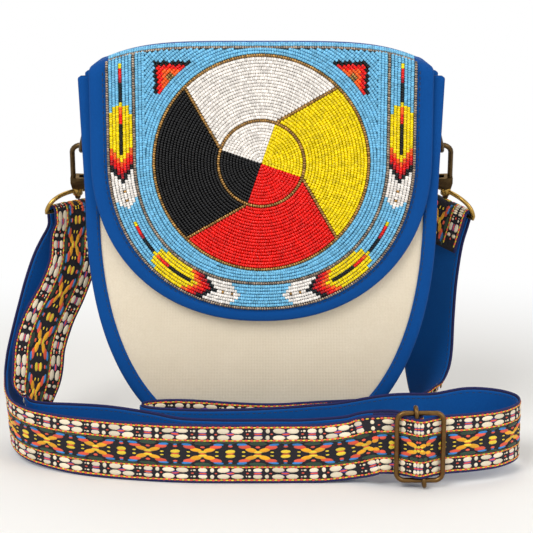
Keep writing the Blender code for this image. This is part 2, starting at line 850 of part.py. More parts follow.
def side_tab(name, side):
    """Make the fabric tab that is sewn to the gusset and folded round the ring."""
    outer_radius = tab_eye + tab_thickness
    centre = (ring_pivot_x, ring_pivot_z)
    top = mouth_height - gap
    slope = (mouth_half_width - hip_half_width) / (mouth_height - hip_height)
    lean = slope * (top - ring_pivot_z)
    outline = [(tab_inner, top), (tab_inner + tab_thickness, top)]
    outline += [(tab_inner - lean + tab_thickness + tab_eye / 2, ring_pivot_z + outer_radius + tab_thickness)]
    outline += [(x - lean, z) for x, z in arc(centre, outer_radius, 70, -180, 12)]
    hole = [(x - lean, z) for x, z in arc(centre, tab_eye, 0, 345, 15)]
    tab = outline_plate(name, [(side * x, z) for x, z in outline], tab_width, blue_cloth,
                        [(side * x, z) for x, z in hole])
    return tab


def side_frame(side):
    """Give the place and turn of a side ring: its bar along Y, leaning outwards."""
    slope = (mouth_half_width - hip_half_width) / (mouth_height - hip_height)
    lean = slope * (mouth_height - gap - ring_pivot_z)
    place = Matrix.Translation((side * (ring_pivot_x - lean), 0, ring_pivot_z))
    return place @ Matrix.Rotation(-side * ring_lean, 4, "Y")


def side_ring(name, side):
    """Make the D ring: a straight bar in the tab, and a bow that hangs below it."""
    half = ring_inner_width / 2 + ring_wire
    shoulder = -ring_drop + half
    corner = 2 * ring_wire
    points = [(0, -half + corner, 0), (0, half - corner, 0)]
    for angle in (60, 30, 0):
        turn = radians(angle)
        points.append((0, half - corner + corner * cos(turn), -corner + corner * sin(turn)))
    for i in range(13):
        turn = pi * i / 12
        points.append((0, half * cos(turn), shoulder - half * sin(turn)))
    for angle in (0, 30, 60):
        turn = radians(angle)
        points.append((0, -half + corner - corner * cos(turn), -corner + corner * sin(turn)))
    ring = wire(name, points, ring_wire, brass, closed=True)
    ring.matrix_world = side_frame(side)
    return ring


hook_bend = hook_throat / 2 + hook_wire
hook_top = (ring_wire + hook_wire + 2 * gap) / cos(hook_lean)
bend_height = hook_top - hook_bend
block_top = bend_height - hook_spine_length
block_bottom = block_top - block_height
gate_pin_x = -hook_bend + gate_eye_radius
gate_pin_z = block_top - gate_pin_drop
nose_height = bend_height - hook_nose_drop
collar_top = block_bottom - gap
collar_bottom = collar_top - collar_height


def hook_frame(side):
    """Give the frame of a hook: its origin is the ring's lowest wire, its +X points outwards."""
    hang = side_frame(side) @ Vector((0, 0, -ring_drop))
    outward = Matrix.Scale(side, 4, Vector((1, 0, 0)))
    place = Matrix.Translation(hang) @ outward
    return place @ Matrix.Rotation(hook_lean, 4, "X") @ Matrix.Rotation(-hook_splay, 4, "Y")


def placed(piece, frame):
    """Bake a frame that may mirror into a mesh, so that its object keeps a plain scale."""
    piece.data.transform(frame)
    if frame.determinant() < 0:
        piece.data.flip_normals()
    piece.data.update()


def hook_body(name, frame):
    """Make the hook: a bent wire, welded to a slotted block with a bore for the post."""
    points = [(-hook_bend, 0, nose_height)]
    for x, z in arc((0, bend_height), hook_bend, 180, 0, 10):
        points.append((x, 0, z))
    points.append((hook_bend, 0, block_top - block_height / 3))
    body = wire(name, points, hook_wire, brass)
    outline = [(-hook_bend + hook_wire / 2, block_top), (hook_bend + hook_wire, block_top)]
    outline += [(hook_bend + hook_wire, block_top - block_height / 2)]
    outline += [(swivel_offset + block_foot_width / 2, block_bottom)]
    outline += [(swivel_offset - block_foot_width / 2, block_bottom)]
    outline += [(-hook_bend + hook_wire / 2, block_top - block_height / 2)]
    block = outline_plate(name + "_block", outline, block_thickness, brass)
    slot_outline = [(-hook_bend - cut_over, block_top + cut_over), (gate_eye_radius, block_top + cut_over),
                    (gate_eye_radius, gate_pin_z - gate_eye_radius - gap),
                    (-hook_bend - cut_over, gate_pin_z - gate_eye_radius - gap)]
    slot = outline_plate(name + "_slot", slot_outline, gate_thickness + 2 * gap, None, collection=cutters)
    bore = turned(name + "_bore", post_radius + gap, block_bottom - cut_over,
                  block_bottom + post_seat_depth, None, collection=cutters)
    bore.data.transform(Matrix.Translation((swivel_offset, 0, 0)))
    pin_hole = turned(name + "_pin_hole", gate_pin_radius + gap, -block_thickness, block_thickness, None,
                      sides=16, collection=cutters)
    pin_hole.data.transform(Matrix.Translation((gate_pin_x, 0, gate_pin_z)) @ Matrix.Rotation(pi / 2, 4, "X"))
    for piece in (body, block, slot, bore, pin_hole):
        placed(piece, frame)
    combine(body, block, "UNION")
    combine(body, slot, "DIFFERENCE")
    combine(body, bore, "DIFFERENCE")
    combine(body, pin_hole, "DIFFERENCE")
    return body


def hook_gate(name, frame):
    """Make the sprung gate: an eye on the pin and an arm that reaches the hook's nose."""
    tip = nose_height - gap
    half = gate_arm_width / 2
    arm_x = -hook_bend
    outline = [(arm_x + half, tip), (arm_x - half, tip)]
    outline += arc((gate_pin_x, gate_pin_z), gate_eye_radius, 170, 380, 9)
    hole = arc((gate_pin_x, gate_pin_z), gate_pin_radius + gap, 0, 330, 11)
    gate = outline_plate(name, outline, gate_thickness, brass, hole)
    placed(gate, frame)
    pivot = frame @ Vector((gate_pin_x, 0, gate_pin_z))
    gate.data.transform(Matrix.Translation(-pivot))
    gate.location = pivot
    return gate


def gate_pin(name, frame):
    """Make the rivet that the gate turns on."""
    pin = turned(name, gate_pin_radius, -block_thickness / 2, block_thickness / 2, steel, sides=12)
    pin.data.transform(Matrix.Translation((gate_pin_x, 0, gate_pin_z)) @ Matrix.Rotation(pi / 2, 4, "X"))
    placed(pin, frame)
    return pin


def swivel_post(name, frame):
    """Make the headed post that holds the strap eye under the hook."""
    head_top = collar_bottom - gap
    seat = block_bottom + post_seat_depth - gap
    shaft = turned(name, post_radius, head_top - post_head_radius, seat, brass)
    head = bmesh.new()
    bmesh.ops.create_uvsphere(head, u_segments=12, v_segments=7, radius=post_head_radius)
    mesh = bpy.data.meshes.new(name + "_head")
    head.to_mesh(mesh)
    head.free()
    mesh.shade_smooth()
    ball = add_object(name + "_head", mesh, brass)
    ball.data.transform(Matrix.Translation((0, 0, head_top - post_head_radius)))
    for piece in (shaft, ball):
        piece.data.transform(Matrix.Translation((swivel_offset, 0, 0)))
        placed(piece, frame)
    combine(shaft, ball, "UNION")
    return shaft


def eye_frame(side):
    """Give the frame of a strap eye: origin on its collar, +X along the bar to the outer end."""
    hook = hook_frame(side)
    centre = hook @ Vector((swivel_offset, 0, (collar_top + collar_bottom) / 2))
    down = (hook.to_3x3() @ Vector((0, 0, -1))).normalized()
    bar = Vector((side * cos(eye_yaw), -sin(eye_yaw), 0))
    bar = (bar - down * bar.dot(down)).normalized()
    turn = Matrix.Identity(3)
    turn.col[0] = bar
    turn.col[2] = -down
    turn.col[1] = (-down).cross(bar)
    return Matrix.Translation(centre) @ turn.to_4x4()


def strap_eye(name, side, tilt):
    """Make the D loop: a collar on the post, two shoulders and a bar for the strap."""
    slide = Matrix.Rotation(-tilt, 4, "Y")
    points = []
    for i in range(21):
        angle = pi * i / 20
        x = eye_half_width * (1 if cos(angle) > 0 else -1) * abs(cos(angle)) ** (2 / eye_power)
        z = -eye_drop + eye_drop * sin(angle) ** (2 / eye_power)
        points.append(slide @ Vector((x, 0, z)))
    eye = wire(name, points, eye_wire, brass, closed=True)
    collar = turned(name + "_collar", collar_radius, -collar_height / 2, collar_height / 2, brass)
    bore = turned(name + "_bore", post_radius + gap, -cut_over, cut_over, None, collection=cutters)
    for piece in (eye, collar, bore):
        piece.data.transform(eye_frame(side))
    combine(eye, collar, "UNION")
    combine(eye, bore, "DIFFERENCE")
    return eye


def eye_bar(side, tilt):
    """Give the middle of a strap eye's bar, and its direction to the outer end."""
    frame = eye_frame(side)
    slide = Matrix.Rotation(-tilt, 4, "Y")
    middle = frame @ (slide @ Vector((0, 0, -eye_drop)))
    outward = (frame.to_3x3() @ (slide.to_3x3() @ Vector((1, 0, 0)))).normalized()
    return middle, outward


hang_height = eye_bar(-1, left_eye_tilt)[0].z
level_share = strap_width / 2 / hang_height
lift_share = slider_centre_z / hang_height
ramp_share = (lift_share + level_share) / 2
upright = (0, 0, 1)

# The strap's route: shares of the mouth's half width, the body's depth and the height of the eye bar,
# with the direction of the edge that starts on top
inner_run_shares = [
    ((0.50, -1.64, ramp_share), upright),
    ((0.20, -1.57, level_share), upright),
    ((-0.25, -1.56, level_share), upright),
    ((-0.45, -1.48, level_share), upright),
    ((-0.58, -1.27, level_share), upright),
    ((-0.70, -1.10, level_share), upright),
    ((-0.86, -0.92, level_share), upright),
    ((-1.05, -0.82, level_share), upright),
    ((-1.22, -0.76, 0.126), (0.03, -0.08, 1)),
    ((-1.300, -0.62, 0.136), (0.02, -0.30, 0.95)),
    ((-1.325, -0.38, 0.158), (-0.10, -0.50, 0.85)),
    ((-1.315, -0.18, 0.221), (-0.50, -0.52, 0.68)),
    ((-1.292, -0.08, 0.315), (-0.76, -0.50, 0.42)),
    ((-1.278, 0.01, 0.426), (-0.82, -0.52, 0.25)),
    ((-1.229, 0.13, 0.536), (-0.80, -0.57, 0.16)),
    ((-1.150, 0.25, 0.654), (-0.77, -0.62, 0.10)),
    ((-1.093, 0.35, 0.773), (-0.75, -0.65, 0.06)),
    ((-1.083, 0.42, 0.883), (-0.74, -0.67, 0.02))]
outer_run_shares = [
    ((-1.126, 0.565, 0.883), (-0.76, -0.65, 0.02)),
    ((-1.186, 0.570, 0.773), (-0.84, -0.54, 0.06)),
    ((-1.238, 0.550, 0.654), (-0.86, -0.49, 0.12)),
    ((-1.283, 0.500, 0.536), (-0.84, -0.49, 0.22)),
    ((-1.332, 0.400, 0.418), (-0.74, -0.55, 0.38)),
    ((-1.382, 0.210, 0.312), (-0.54, -0.60, 0.58)),
    ((-1.428, -0.110, 0.224), (-0.22, -0.60, 0.77)),
    ((-1.435, -0.430, 0.181), (-0.03, -0.50, 0.86)),
    ((-1.400, -0.760, 0.155), (0.08, -0.38, 0.92)),
    ((-1.310, -1.060, 0.139), (0.08, -0.22, 0.97)),
    ((-1.160, -1.290, 0.128), (0.05, -0.10, 1)),
    ((-0.980, -1.470, level_share), upright),
    ((-0.740, -1.650, level_share), upright),
    ((-0.420, -1.780, level_share), upright),
    ((-0.050, -1.800, level_share), upright),
    ((0.300, -1.790, level_share), upright),
    ((0.520, -1.820, ramp_share), upright)]
front_run_shares = [
    ((1.140, -1.790, lift_share), upright),
    ((1.300, -1.600, lift_share), upright),
    ((1.405, -1.270, lift_share), upright),
    ((1.415, -0.950, lift_share), upright),
    ((1.340, -0.690, lift_share), upright),
    ((1.180, -0.570, lift_share), upright),
    ((0.980, -0.570, ramp_share), upright),
    ((0.740, -0.620, ramp_share), upright),
    ((0.400, -0.800, level_share), upright),
    ((0.050, -1.020, level_share), upright),
    ((-0.300, -1.100, level_share), upright),
    ((-0.540, -1.040, level_share), upright),
    ((-0.650, -0.930, level_share), upright),
    ((-0.672, -0.800, level_share), upright),
    ((-0.635, -0.680, level_share), upright),
    ((-0.530, -0.610, level_share), upright),
    ((-0.380, -0.630, level_share), upright),
    ((-0.150, -0.760, level_share), upright),
    ((0.060, -0.820, level_share), upright),
    ((0.330, -0.690, level_share), upright),
    ((0.560, -0.600, level_share), upright),
    ((0.740, -0.560, level_share), upright),
    ((0.870, -0.450, 0.126), (0.00, -0.06, 1)),
    ((0.945, -0.180, 0.142), (0.06, -0.20, 0.97)),
    ((0.968, 0.120, 0.183), (0.34, -0.42, 0.83)),
    ((0.970, 0.340, 0.260), (0.64, -0.52, 0.56)),
    ((0.976, 0.480, 0.371), (0.82, -0.50, 0.30)),
    ((0.986, 0.575, 0.520), (0.82, -0.56, 0.12)),
    ((1.004, 0.620, 0.694), (0.79, -0.60, 0.00)),
    ((1.036, 0.620, 0.867), (0.76, -0.61, -0.14))]
wrap_angles = [0, 30, 60, 90, 120, 150, 180]
slider_wrap_angles = [-28, 8, 44, 80, 116, 152]


def route_place(place_shares, edge):
    """Give one strap place from its shares, with the direction of its upper edge."""
    x, y, z = place_shares
    return Vector((x * mouth_half_width, y * body_depth, z * hang_height)), Vector(edge).normalized()


def over_bar(side, tilt):
    """Give the strap's places round an eye bar: front to back on the left, back to front on the right."""
    middle, outward = eye_bar(side, tilt)
    up = Vector(upright)
    up = (up - outward * up.dot(outward)).normalized()
    back = outward.cross(up) * -side
    if back.y < 0:
        back = -back
    start = back * side
    tails = [-2.6 * eye_wrap, -eye_wrap]
    route = [(middle + start * eye_wrap + up * tail, outward) for tail in tails]
    for angle in wrap_angles:
        turn = radians(angle)
        route.append((middle + start * eye_wrap * cos(turn) + up * eye_wrap * sin(turn), outward))
    route += [(middle - start * eye_wrap + up * tail, outward) for tail in reversed(tails)]
    if side > 0:
        end = middle - start * (eye_wrap + thread_gap) - up * strap_end_fold
        route.append((end, outward))
    return route


def slider_end():
    """Give the strap's places from its sewn end, round the slider's slanted bar and back."""
    tab_y = behind_post + slider_ply - slider_reach
    sideways = Vector((cos(slider_bar_slant), 0, sin(slider_bar_slant)))
    along_bar = Vector((-sin(slider_bar_slant), 0, cos(slider_bar_slant)))
    wrap = bar_front_wrap
    bar = Vector((slider_centre_x, slider_centre_y + slider_reach, slider_centre_z))

    def beside(dx, dy):
        return bar + Vector((dx, dy, 0)), Vector(upright)

    def in_bar_plane(dx, dy):
        return bar + sideways * dx + Vector((0, dy, 0)), along_bar

    route = [beside(-slider_post - 3 * slider_ply, tab_y), beside(-slider_post, tab_y),
             in_bar_plane(-slider_post / 2, (tab_y - wrap) / 2)]
    for angle in slider_wrap_angles:
        turn = radians(angle)
        route.append(in_bar_plane(wrap * sin(turn), -wrap * cos(turn)))
    route += [in_bar_plane(-slider_post / 2, (tab_y + slider_ply + wrap) / 2),
              beside(-slider_post, tab_y + slider_ply),
              beside(-slider_post - 3 * slider_ply, tab_y + slider_ply)]
    return route


def through_slider():
    """Give the strap's places where it weaves behind both posts and in front of the bar's ply."""
    in_front = slider_reach - bar_front_wrap - slider_ply
    halfway = (behind_post + in_front) / 2
    steps = [(-slider_post - 3 * slider_ply, behind_post), (-slider_post, behind_post),
             (-slider_post / 2, halfway), (0, in_front),
             (slider_post / 2, halfway), (slider_post, behind_post)]
    return [(Vector((slider_centre_x + dx, slider_centre_y + dy, slider_centre_z)), Vector(upright))
            for dx, dy in steps]


def strap_route():
    """Give the strap's centre places, each with the direction of the edge that starts on top."""
    route = slider_end() + [route_place(*places) for places in inner_run_shares]
    route += over_bar(-1, left_eye_tilt) + [route_place(*places) for places in outer_run_shares]
    route += through_slider() + [route_place(*places) for places in front_run_shares]
    return route + over_bar(1, right_eye_tilt)


def tangent(before, here, after, near, far, span):
    """Give a curve's tangent at a point, from its neighbours and the knot distances to them."""
    return ((here - before) / near - (after - before) / (near + far) + (after - here) / far) * span


def smooth_route(route, step):
    """Give evenly spaced frames on a smooth curve through the route, with no overshoot at close points."""
    route = [(2 * route[0][0] - route[1][0], route[0][1])] + route
    route.append((2 * route[-1][0] - route[-2][0], route[-1][1]))
    knots = [sqrt((route[i + 1][0] - route[i][0]).length) for i in range(len(route) - 1)]
    fine = []
    for i in range(1, len(route) - 2):
        span = knots[i]
        length = (route[i + 1][0] - route[i][0]).length
        count = max(2 if length > strap_wrap_step else 1, round(length / step))
        for j in range(count):
            t = j / count
            weights = (2 * t ** 3 - 3 * t ** 2 + 1, t ** 3 - 2 * t ** 2 + t,
                       3 * t ** 2 - 2 * t ** 3, t ** 3 - t ** 2)
            sample = []
            for k in (0, 1):
                p0, p1, p2, p3 = (route[i + offset][k] for offset in (-1, 0, 1, 2))
                start = tangent(p0, p1, p2, knots[i - 1], span, span)
                end = tangent(p1, p2, p3, span, knots[i + 1], span)
                sample.append(p1 * weights[0] + start * weights[1] + p2 * weights[2] + end * weights[3])
            fine.append(sample)
    fine.append(list(route[-2]))
    frames = []
    for i, (centre, edge) in enumerate(fine):
        ahead = fine[min(i + 1, len(fine) - 1)][0]
        behind = fine[max(i - 1, 0)][0]
        along = (ahead - behind).normalized()
        edge = (edge - along * edge.dot(along)).normalized()
        centre = Vector((centre.x, centre.y, max(centre.z, abs(edge.z) * strap_width / 2)))
        frames.append((centre, edge, along.cross(edge)))
    return frames


def strap():
    """Make the woven band and its lining as two plies along the same route."""
    frames = smooth_route(strap_route(), strap_step)
    outer = strap_thickness / 2
    plies = [("strap_webbing", outer - webbing_thickness, outer, webbing_cloth),
             ("strap_lining", -outer, -outer + strap_lining_thickness, cotton_lining)]
    for name, low, high, surface in plies:
        rings = []
        for centre, edge, face in frames:
            half = edge * (strap_width / 2)
            rings.append([centre + half + face * low, centre - half + face * low,
                          centre - half + face * high, centre + half + face * high])
        loft(name, rings, surface, smooth_angle=radians(40), triangles=True)


bar_hook_angles = [215, 180, 145, 110, 75, 40, 0]


def slider():
    """Make the strap slider: a rounded wire frame and the bar that hooks round its long sides."""
    half_x = slider_width / 2 - slider_wire
    half_z = slider_inside + slider_wire
    corner_x = half_x - slider_corner
    corner_z = half_z - slider_corner
    points = []
    for i, (side_x, side_z) in enumerate(((1, 1), (-1, 1), (-1, -1), (1, -1))):
        centre = (side_x * corner_x, side_z * corner_z)
        points += [(x, 0, z) for x, z in arc(centre, slider_corner, 90 * i, 90 * i + 90, 4)]
    frame = wire("slider_frame", points, slider_wire, brass, closed=True)
    frame.location = (slider_centre_x, slider_centre_y, slider_centre_z)

    top = [(slider_reach * cos(radians(angle)), half_z + slider_reach * sin(radians(angle)))
           for angle in bar_hook_angles]
    bottom = [(y, -z) for y, z in reversed(top)]
    slanted = []
    for y, z in top + bottom:
        slanted.append((-z * tan(slider_bar_slant), y, z))
    bar = wire("slider_bar", slanted, slider_bar_wire, brass)
    bar.location = frame.location


def body():
    """Make the bag's body."""
    body_panel("front_panel", -1, panel_bulge)
    body_panel("back_panel", 1, 0)
    body_gusset()
    bound_flange("front_binding", -1)
    bound_flange("back_binding", 1)
    pouch_lining()
    mouth_binding()


def flap():
    """Make the flap's layers and its beadwork."""
    flap_layer("flap_lining", flap_edge_inset, -flap_stack, -flap_stiffener_thickness - gap, cotton_lining)
    flap_layer("flap_stiffener", flap_edge_inset, -flap_stiffener_thickness, 0, board)
    flap_layer("flap_face", 0, face_base, face_top, blue_cloth)
    outer_bead_row()
    inner_bead_row()
    feathers_and_band()
    field_beads()
    wheel()


def strap_hardware():
    """Make the tab, ring, hook and eye on each side."""
    for name, side, tilt in (("left", -1, left_eye_tilt), ("right", 1, right_eye_tilt)):
        frame = hook_frame(side)
        side_tab(f"{name}_side_tab", side)
        side_ring(f"{name}_side_ring", side)
        hook_body(f"{name}_hook", frame)
        hook_gate(f"{name}_hook_gate", frame)
        gate_pin(f"{name}_gate_pin", frame)
        swivel_post(f"{name}_swivel_post", frame)
        strap_eye(f"{name}_strap_eye", side, tilt)


def centre_footprint():
    """Move the parts and their cutters so that the middle of the footprint is at the origin."""
    bpy.context.view_layer.update()
    places = [piece.matrix_world @ corner.co for piece in parts.objects for corner in piece.data.vertices]
    shift_x = (min(place.x for place in places) + max(place.x for place in places)) / 2
    shift_y = (min(place.y for place in places) + max(place.y for place in places)) / 2
    for piece in list(parts.objects) + list(cutters.objects):
        piece.location -= Vector((shift_x, shift_y, 0))
    bpy.context.view_layer.update()


body()
flap()
snap_closure()
strap_hardware()
strap()
slider()
centre_footprint()
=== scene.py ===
# %% [markdown]
# # Beaded crossbody bag
# A small canvas bag whose flap carries a beaded medicine wheel, with a woven strap on swivel hooks.
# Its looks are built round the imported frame: every visible piece is made here in real metres and then
# rides on a body of that frame, so the bag still opens and turns.

# %% Load the frame
from math import atan2, ceil, cos, hypot, pi, radians, sin, sqrt

import bmesh
import bpy
import numpy as np
from mathutils import Matrix, Vector, noise


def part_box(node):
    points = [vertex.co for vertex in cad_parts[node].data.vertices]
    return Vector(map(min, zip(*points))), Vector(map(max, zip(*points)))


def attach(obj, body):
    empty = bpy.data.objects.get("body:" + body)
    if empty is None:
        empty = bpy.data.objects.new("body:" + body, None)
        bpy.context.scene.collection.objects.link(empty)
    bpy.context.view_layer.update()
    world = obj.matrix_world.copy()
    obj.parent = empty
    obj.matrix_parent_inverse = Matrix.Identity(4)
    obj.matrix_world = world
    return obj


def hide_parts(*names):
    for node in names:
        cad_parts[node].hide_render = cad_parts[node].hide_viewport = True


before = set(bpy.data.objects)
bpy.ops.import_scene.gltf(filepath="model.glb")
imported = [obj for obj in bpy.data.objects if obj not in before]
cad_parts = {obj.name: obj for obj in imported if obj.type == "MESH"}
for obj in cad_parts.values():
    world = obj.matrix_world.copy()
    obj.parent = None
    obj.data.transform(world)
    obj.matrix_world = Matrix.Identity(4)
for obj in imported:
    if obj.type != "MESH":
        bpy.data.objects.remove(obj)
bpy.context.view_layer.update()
binding_low, binding_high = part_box("front_binding")
gusset_low, gusset_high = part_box("gusset")
origin = Vector(((binding_low.x + binding_high.x) / 2, (gusset_low.y + gusset_high.y) / 2, 0))
print("bag's middle at", [round(c, 5) for c in origin])

# %% [markdown]
# ## Helpers for materials
# A colour is written as sRGB hex and turned into the linear values that a shader needs. A node is added
# with its settings and links in one call, so each material reads as a list of its nodes.


# %% Colours and nodes
def colour(code):
    """Turn an sRGB hex code into linear RGBA."""
    channels = [int(code[i:i + 2], 16) / 255 for i in (0, 2, 4)]
    return (*[((c + 0.055) / 1.055) ** 2.4 if c > 0.04045 else c / 12.92 for c in channels], 1.0)


def add_node(tree, kind, links=(), **settings):
    """Add a node, set its properties, then fill inputs with values or with other nodes' outputs."""
    node = tree.nodes.new(kind)
    for name, value in settings.items():
        setattr(node, name, value)
    for socket, value in dict(links).items():
        if isinstance(value, bpy.types.NodeSocket):
            tree.links.new(value, node.inputs[socket])
        else:
            node.inputs[socket].default_value = value
    return node


def new_surface(name, code, roughness, metallic=0.0):
    """Make a material with one base colour and return it with its node tree and shader."""
    made = bpy.data.materials.new(name)
    made.use_nodes = True
    shader = made.node_tree.nodes["Principled BSDF"]
    shader.inputs["Base Color"].default_value = colour(code)
    shader.inputs["Roughness"].default_value = roughness
    shader.inputs["Metallic"].default_value = metallic
    made.diffuse_color = colour(code)
    return made, made.node_tree, shader


# %% [markdown]
# ## Cloth
# The blue cloth is a dense cotton twill. Its threads lie about 0.3 mm apart, too fine to show at this
# distance, so the ribs are drawn at 0.7 mm. Slow noise lightens and darkens the dye a little.


# %% Woven cloth materials
wave_pitch = 2 * pi / 20  # metres from rib to rib in a Wave Texture of scale 1


def woven(name, code, dark, thread, relief, roughness, slub=0.25):
    """Make a woven cloth: two sets of ribs at the thread pitch, slubs, and dye that varies slowly."""
    made, tree, shader = new_surface(name, code, roughness)
    place = add_node(tree, "ShaderNodeTexCoord")
    warp, weft = (add_node(tree, "ShaderNodeTexWave", {
        "Vector": place.outputs["Object"], "Scale": wave_pitch / thread, "Distortion": slub,
        "Detail": 1.0, "Detail Scale": 4.0}, bands_direction=axis) for axis in "XZ")
    weave = add_node(tree, "ShaderNodeMath", {
        0: warp.outputs["Fac"], 1: weft.outputs["Fac"]}, operation="ADD")
    cloud = add_node(tree, "ShaderNodeTexNoise", {
        "Vector": place.outputs["Object"], "Scale": 34.0, "Detail": 5.0, "Roughness": 0.6})
    fleck = add_node(tree, "ShaderNodeTexNoise", {
        "Vector": place.outputs["Object"], "Scale": 900.0, "Detail": 2.0})
    both = add_node(tree, "ShaderNodeMath", {
        0: cloud.outputs["Fac"], 1: fleck.outputs["Fac"], 2: 0.25}, operation="MULTIPLY_ADD")
    dye = add_node(tree, "ShaderNodeMix", {"Factor": both.outputs[0], 6: colour(dark), 7: colour(code)},
                   data_type="RGBA")
    tree.links.new(dye.outputs[2], shader.inputs["Base Color"])
    bump = add_node(tree, "ShaderNodeBump", {
        "Height": weave.outputs[0], "Strength": 0.55, "Distance": relief})
    tree.links.new(bump.outputs["Normal"], shader.inputs["Normal"])
    shader.inputs["Sheen Weight"].default_value = 0.04
    shader.inputs["Specular IOR Level"].default_value = 0.1
    return made


# Deep blue cotton twill of the flap's border, bindings and tabs: a matte, saturated edge
blue_twill = woven("blue_twill", "08509A", "053E7E", 0.0007, 0.00008, 0.8)
# Natural canvas of the body: warm off-white with visible threads and slubs
natural_canvas = woven("natural_canvas", "F1E5D0", "DACBB0", 0.0010, 0.00018, 0.92, slub=0.9)
# Thin plain-weave cotton inside the pouch and behind the flap: softer and a little brighter
lining_cotton = woven("lining_cotton", "0A56A2", "074582", 0.0006, 0.00005, 0.85)
# Grey stiffening board inside the flap, seen only where a cut would show it
stiffener_board, _, _ = new_surface("stiffener_board", "D9D4C8", 0.95)
print("cloth materials", [m.name for m in (blue_twill, natural_canvas, lining_cotton)])

# %% [markdown]
# ## Glass
# Opaque seed beads are pressed from coloured glass, so each one has the colour all through, a smooth
# skin and one bright point of light. Every bead carries a small number of its own that shifts its
# lightness, as beads from one hank differ.


# %% Bead glass
def shaded(tree, shader, code, low, high):
    """Shift the colour's lightness by the number that each bead or stitch carries."""
    own = add_node(tree, "ShaderNodeAttribute", attribute_name="shade")
    light = add_node(tree, "ShaderNodeMapRange", {
        "Value": own.outputs["Fac"], "To Min": low, "To Max": high})
    tint = add_node(tree, "ShaderNodeHueSaturation", {
        "Value": light.outputs["Result"], "Color": colour(code)})
    tree.links.new(tint.outputs["Color"], shader.inputs["Base Color"])


def bead_glass(name, code, roughness=0.22, metallic=0.0, spread=0.2):
    """Make glass whose lightness follows the number that each bead carries."""
    made, tree, shader = new_surface(name, code, roughness, metallic)
    shaded(tree, shader, code, 1 - spread, 1 + spread)
    if not metallic:
        shader.inputs["IOR"].default_value = 1.52
        shader.inputs["Specular IOR Level"].default_value = 0.25
    return made


bead_glasses = {
    # Metal-coated beads: the rows that edge the wheel, and the greyer ones along the band
    "bronze": bead_glass("bronze_glass", "99733D", 0.25, 0.7, 0.45),
    "pewter": bead_glass("pewter_glass", "887868", 0.25, 0.6, 0.45),
    "sky": bead_glass("sky_glass", "72B8DB"),            # opaque light blue, glossy
    "white": bead_glass("white_glass", "ECE6DF"),        # opaque chalk white
    "yellow": bead_glass("yellow_glass", "EDD303"),      # opaque lemon yellow
    "red": bead_glass("red_glass", "E4170F"),            # opaque bright red
    "orange": bead_glass("orange_glass", "F2601A"),      # opaque orange
    "dark_red": bead_glass("dark_red_glass", "A8101C"),  # opaque garnet red
    "black": bead_glass("black_glass", "08080A", 0.18),  # opaque black, the glossiest
}
print(len(bead_glasses), "bead colours")

# %% [markdown]
# ## Yarn
# The strap's pattern and the seams are spun yarn: matte, a little fuzzy, and ribbed by the twist of the
# plies. The twist is a fine noise in the bump, as single plies are too thin to show.


# %% Yarn colours
def yarn(name, code):
    """Make one colour of yarn: matte, with the twist of its plies across it."""
    made, tree, shader = new_surface(name, code, 0.85)
    shaded(tree, shader, code, 0.8, 1.12)
    place = add_node(tree, "ShaderNodeTexCoord")
    twist = add_node(tree, "ShaderNodeTexNoise", {
        "Vector": place.outputs["Object"], "Scale": 2600.0, "Detail": 1.0})
    bump = add_node(tree, "ShaderNodeBump", {
        "Height": twist.outputs["Fac"], "Strength": 0.5, "Distance": 0.0001})
    tree.links.new(bump.outputs["Normal"], shader.inputs["Normal"])
    shader.inputs["Sheen Weight"].default_value = 0.2
    return made


yarns = {kind: yarn(kind + "_yarn", code) for kind, code in (
    ("cream", "EDE0C4"), ("coral", "E8583C"), ("yellow", "E9CB33"), ("gold", "F0A818"), ("blue", "2E7FC4"),
    ("green", "26402C"), ("purple", "5A3A9A"), ("hem", "06294F"))}
print(len(yarns), "yarns")

# %% [markdown]
# ## Metal
# The fittings are cast or bent brass with an antique plating, which a noise makes darker where it has
# aged. Metals keep the shader's own index of refraction.


# %% Plated metals
def worn_metal(name, code, dark, roughness, grain=300.0):
    """Make a plated metal with darker places where the plating has aged."""
    made, tree, shader = new_surface(name, code, roughness, 1.0)
    place = add_node(tree, "ShaderNodeTexCoord")
    age = add_node(tree, "ShaderNodeTexNoise", {
        "Vector": place.outputs["Object"], "Scale": grain, "Detail": 6.0, "Roughness": 0.65})
    mix = add_node(tree, "ShaderNodeMix", {"Factor": age.outputs["Fac"], 6: colour(dark), 7: colour(code)},
                   data_type="RGBA")
    tree.links.new(mix.outputs[2], shader.inputs["Base Color"])
    rough = add_node(tree, "ShaderNodeMapRange", {
        "Value": age.outputs["Fac"], "To Min": roughness + 0.15, "To Max": roughness - 0.08})
    tree.links.new(rough.outputs["Result"], shader.inputs["Roughness"])
    return made


# Antique brass of the slider: brown, worn brighter in patches by the strap
antique_brass = worn_metal("antique_brass", "86653B", "43301B", 0.3)
# Darker brass of the hooks and rings, whose patina was left on: nearly black in the hollows
dark_brass = worn_metal("dark_brass", "6B5536", "2B2216", 0.3)
# Brighter brass of the strap's eyes, where the plating is newer
bright_brass = worn_metal("bright_brass", "C6A255", "7E5F2E", 0.25)
# Nickel-plated steel of the snap and the rivets: pale and smooth
nickel_steel = worn_metal("nickel_steel", "C8C8CA", "9A9A9C", 0.25, 500.0)
print("metals", [m.name for m in (antique_brass, dark_brass, bright_brass, nickel_steel)])

# %% [markdown]
# ## Shapes
# Most pieces are skins through rows of points, so one function turns a grid into a mesh. Another sweeps
# a round section along a path for the wire fittings, and the last one joins pieces of one body.


# %% Mesh helpers
def placed(name, data):
    """Put a mesh, a lamp or a camera into the scene as an object."""
    made = bpy.data.objects.new(name, data)
    bpy.context.scene.collection.objects.link(made)
    return made


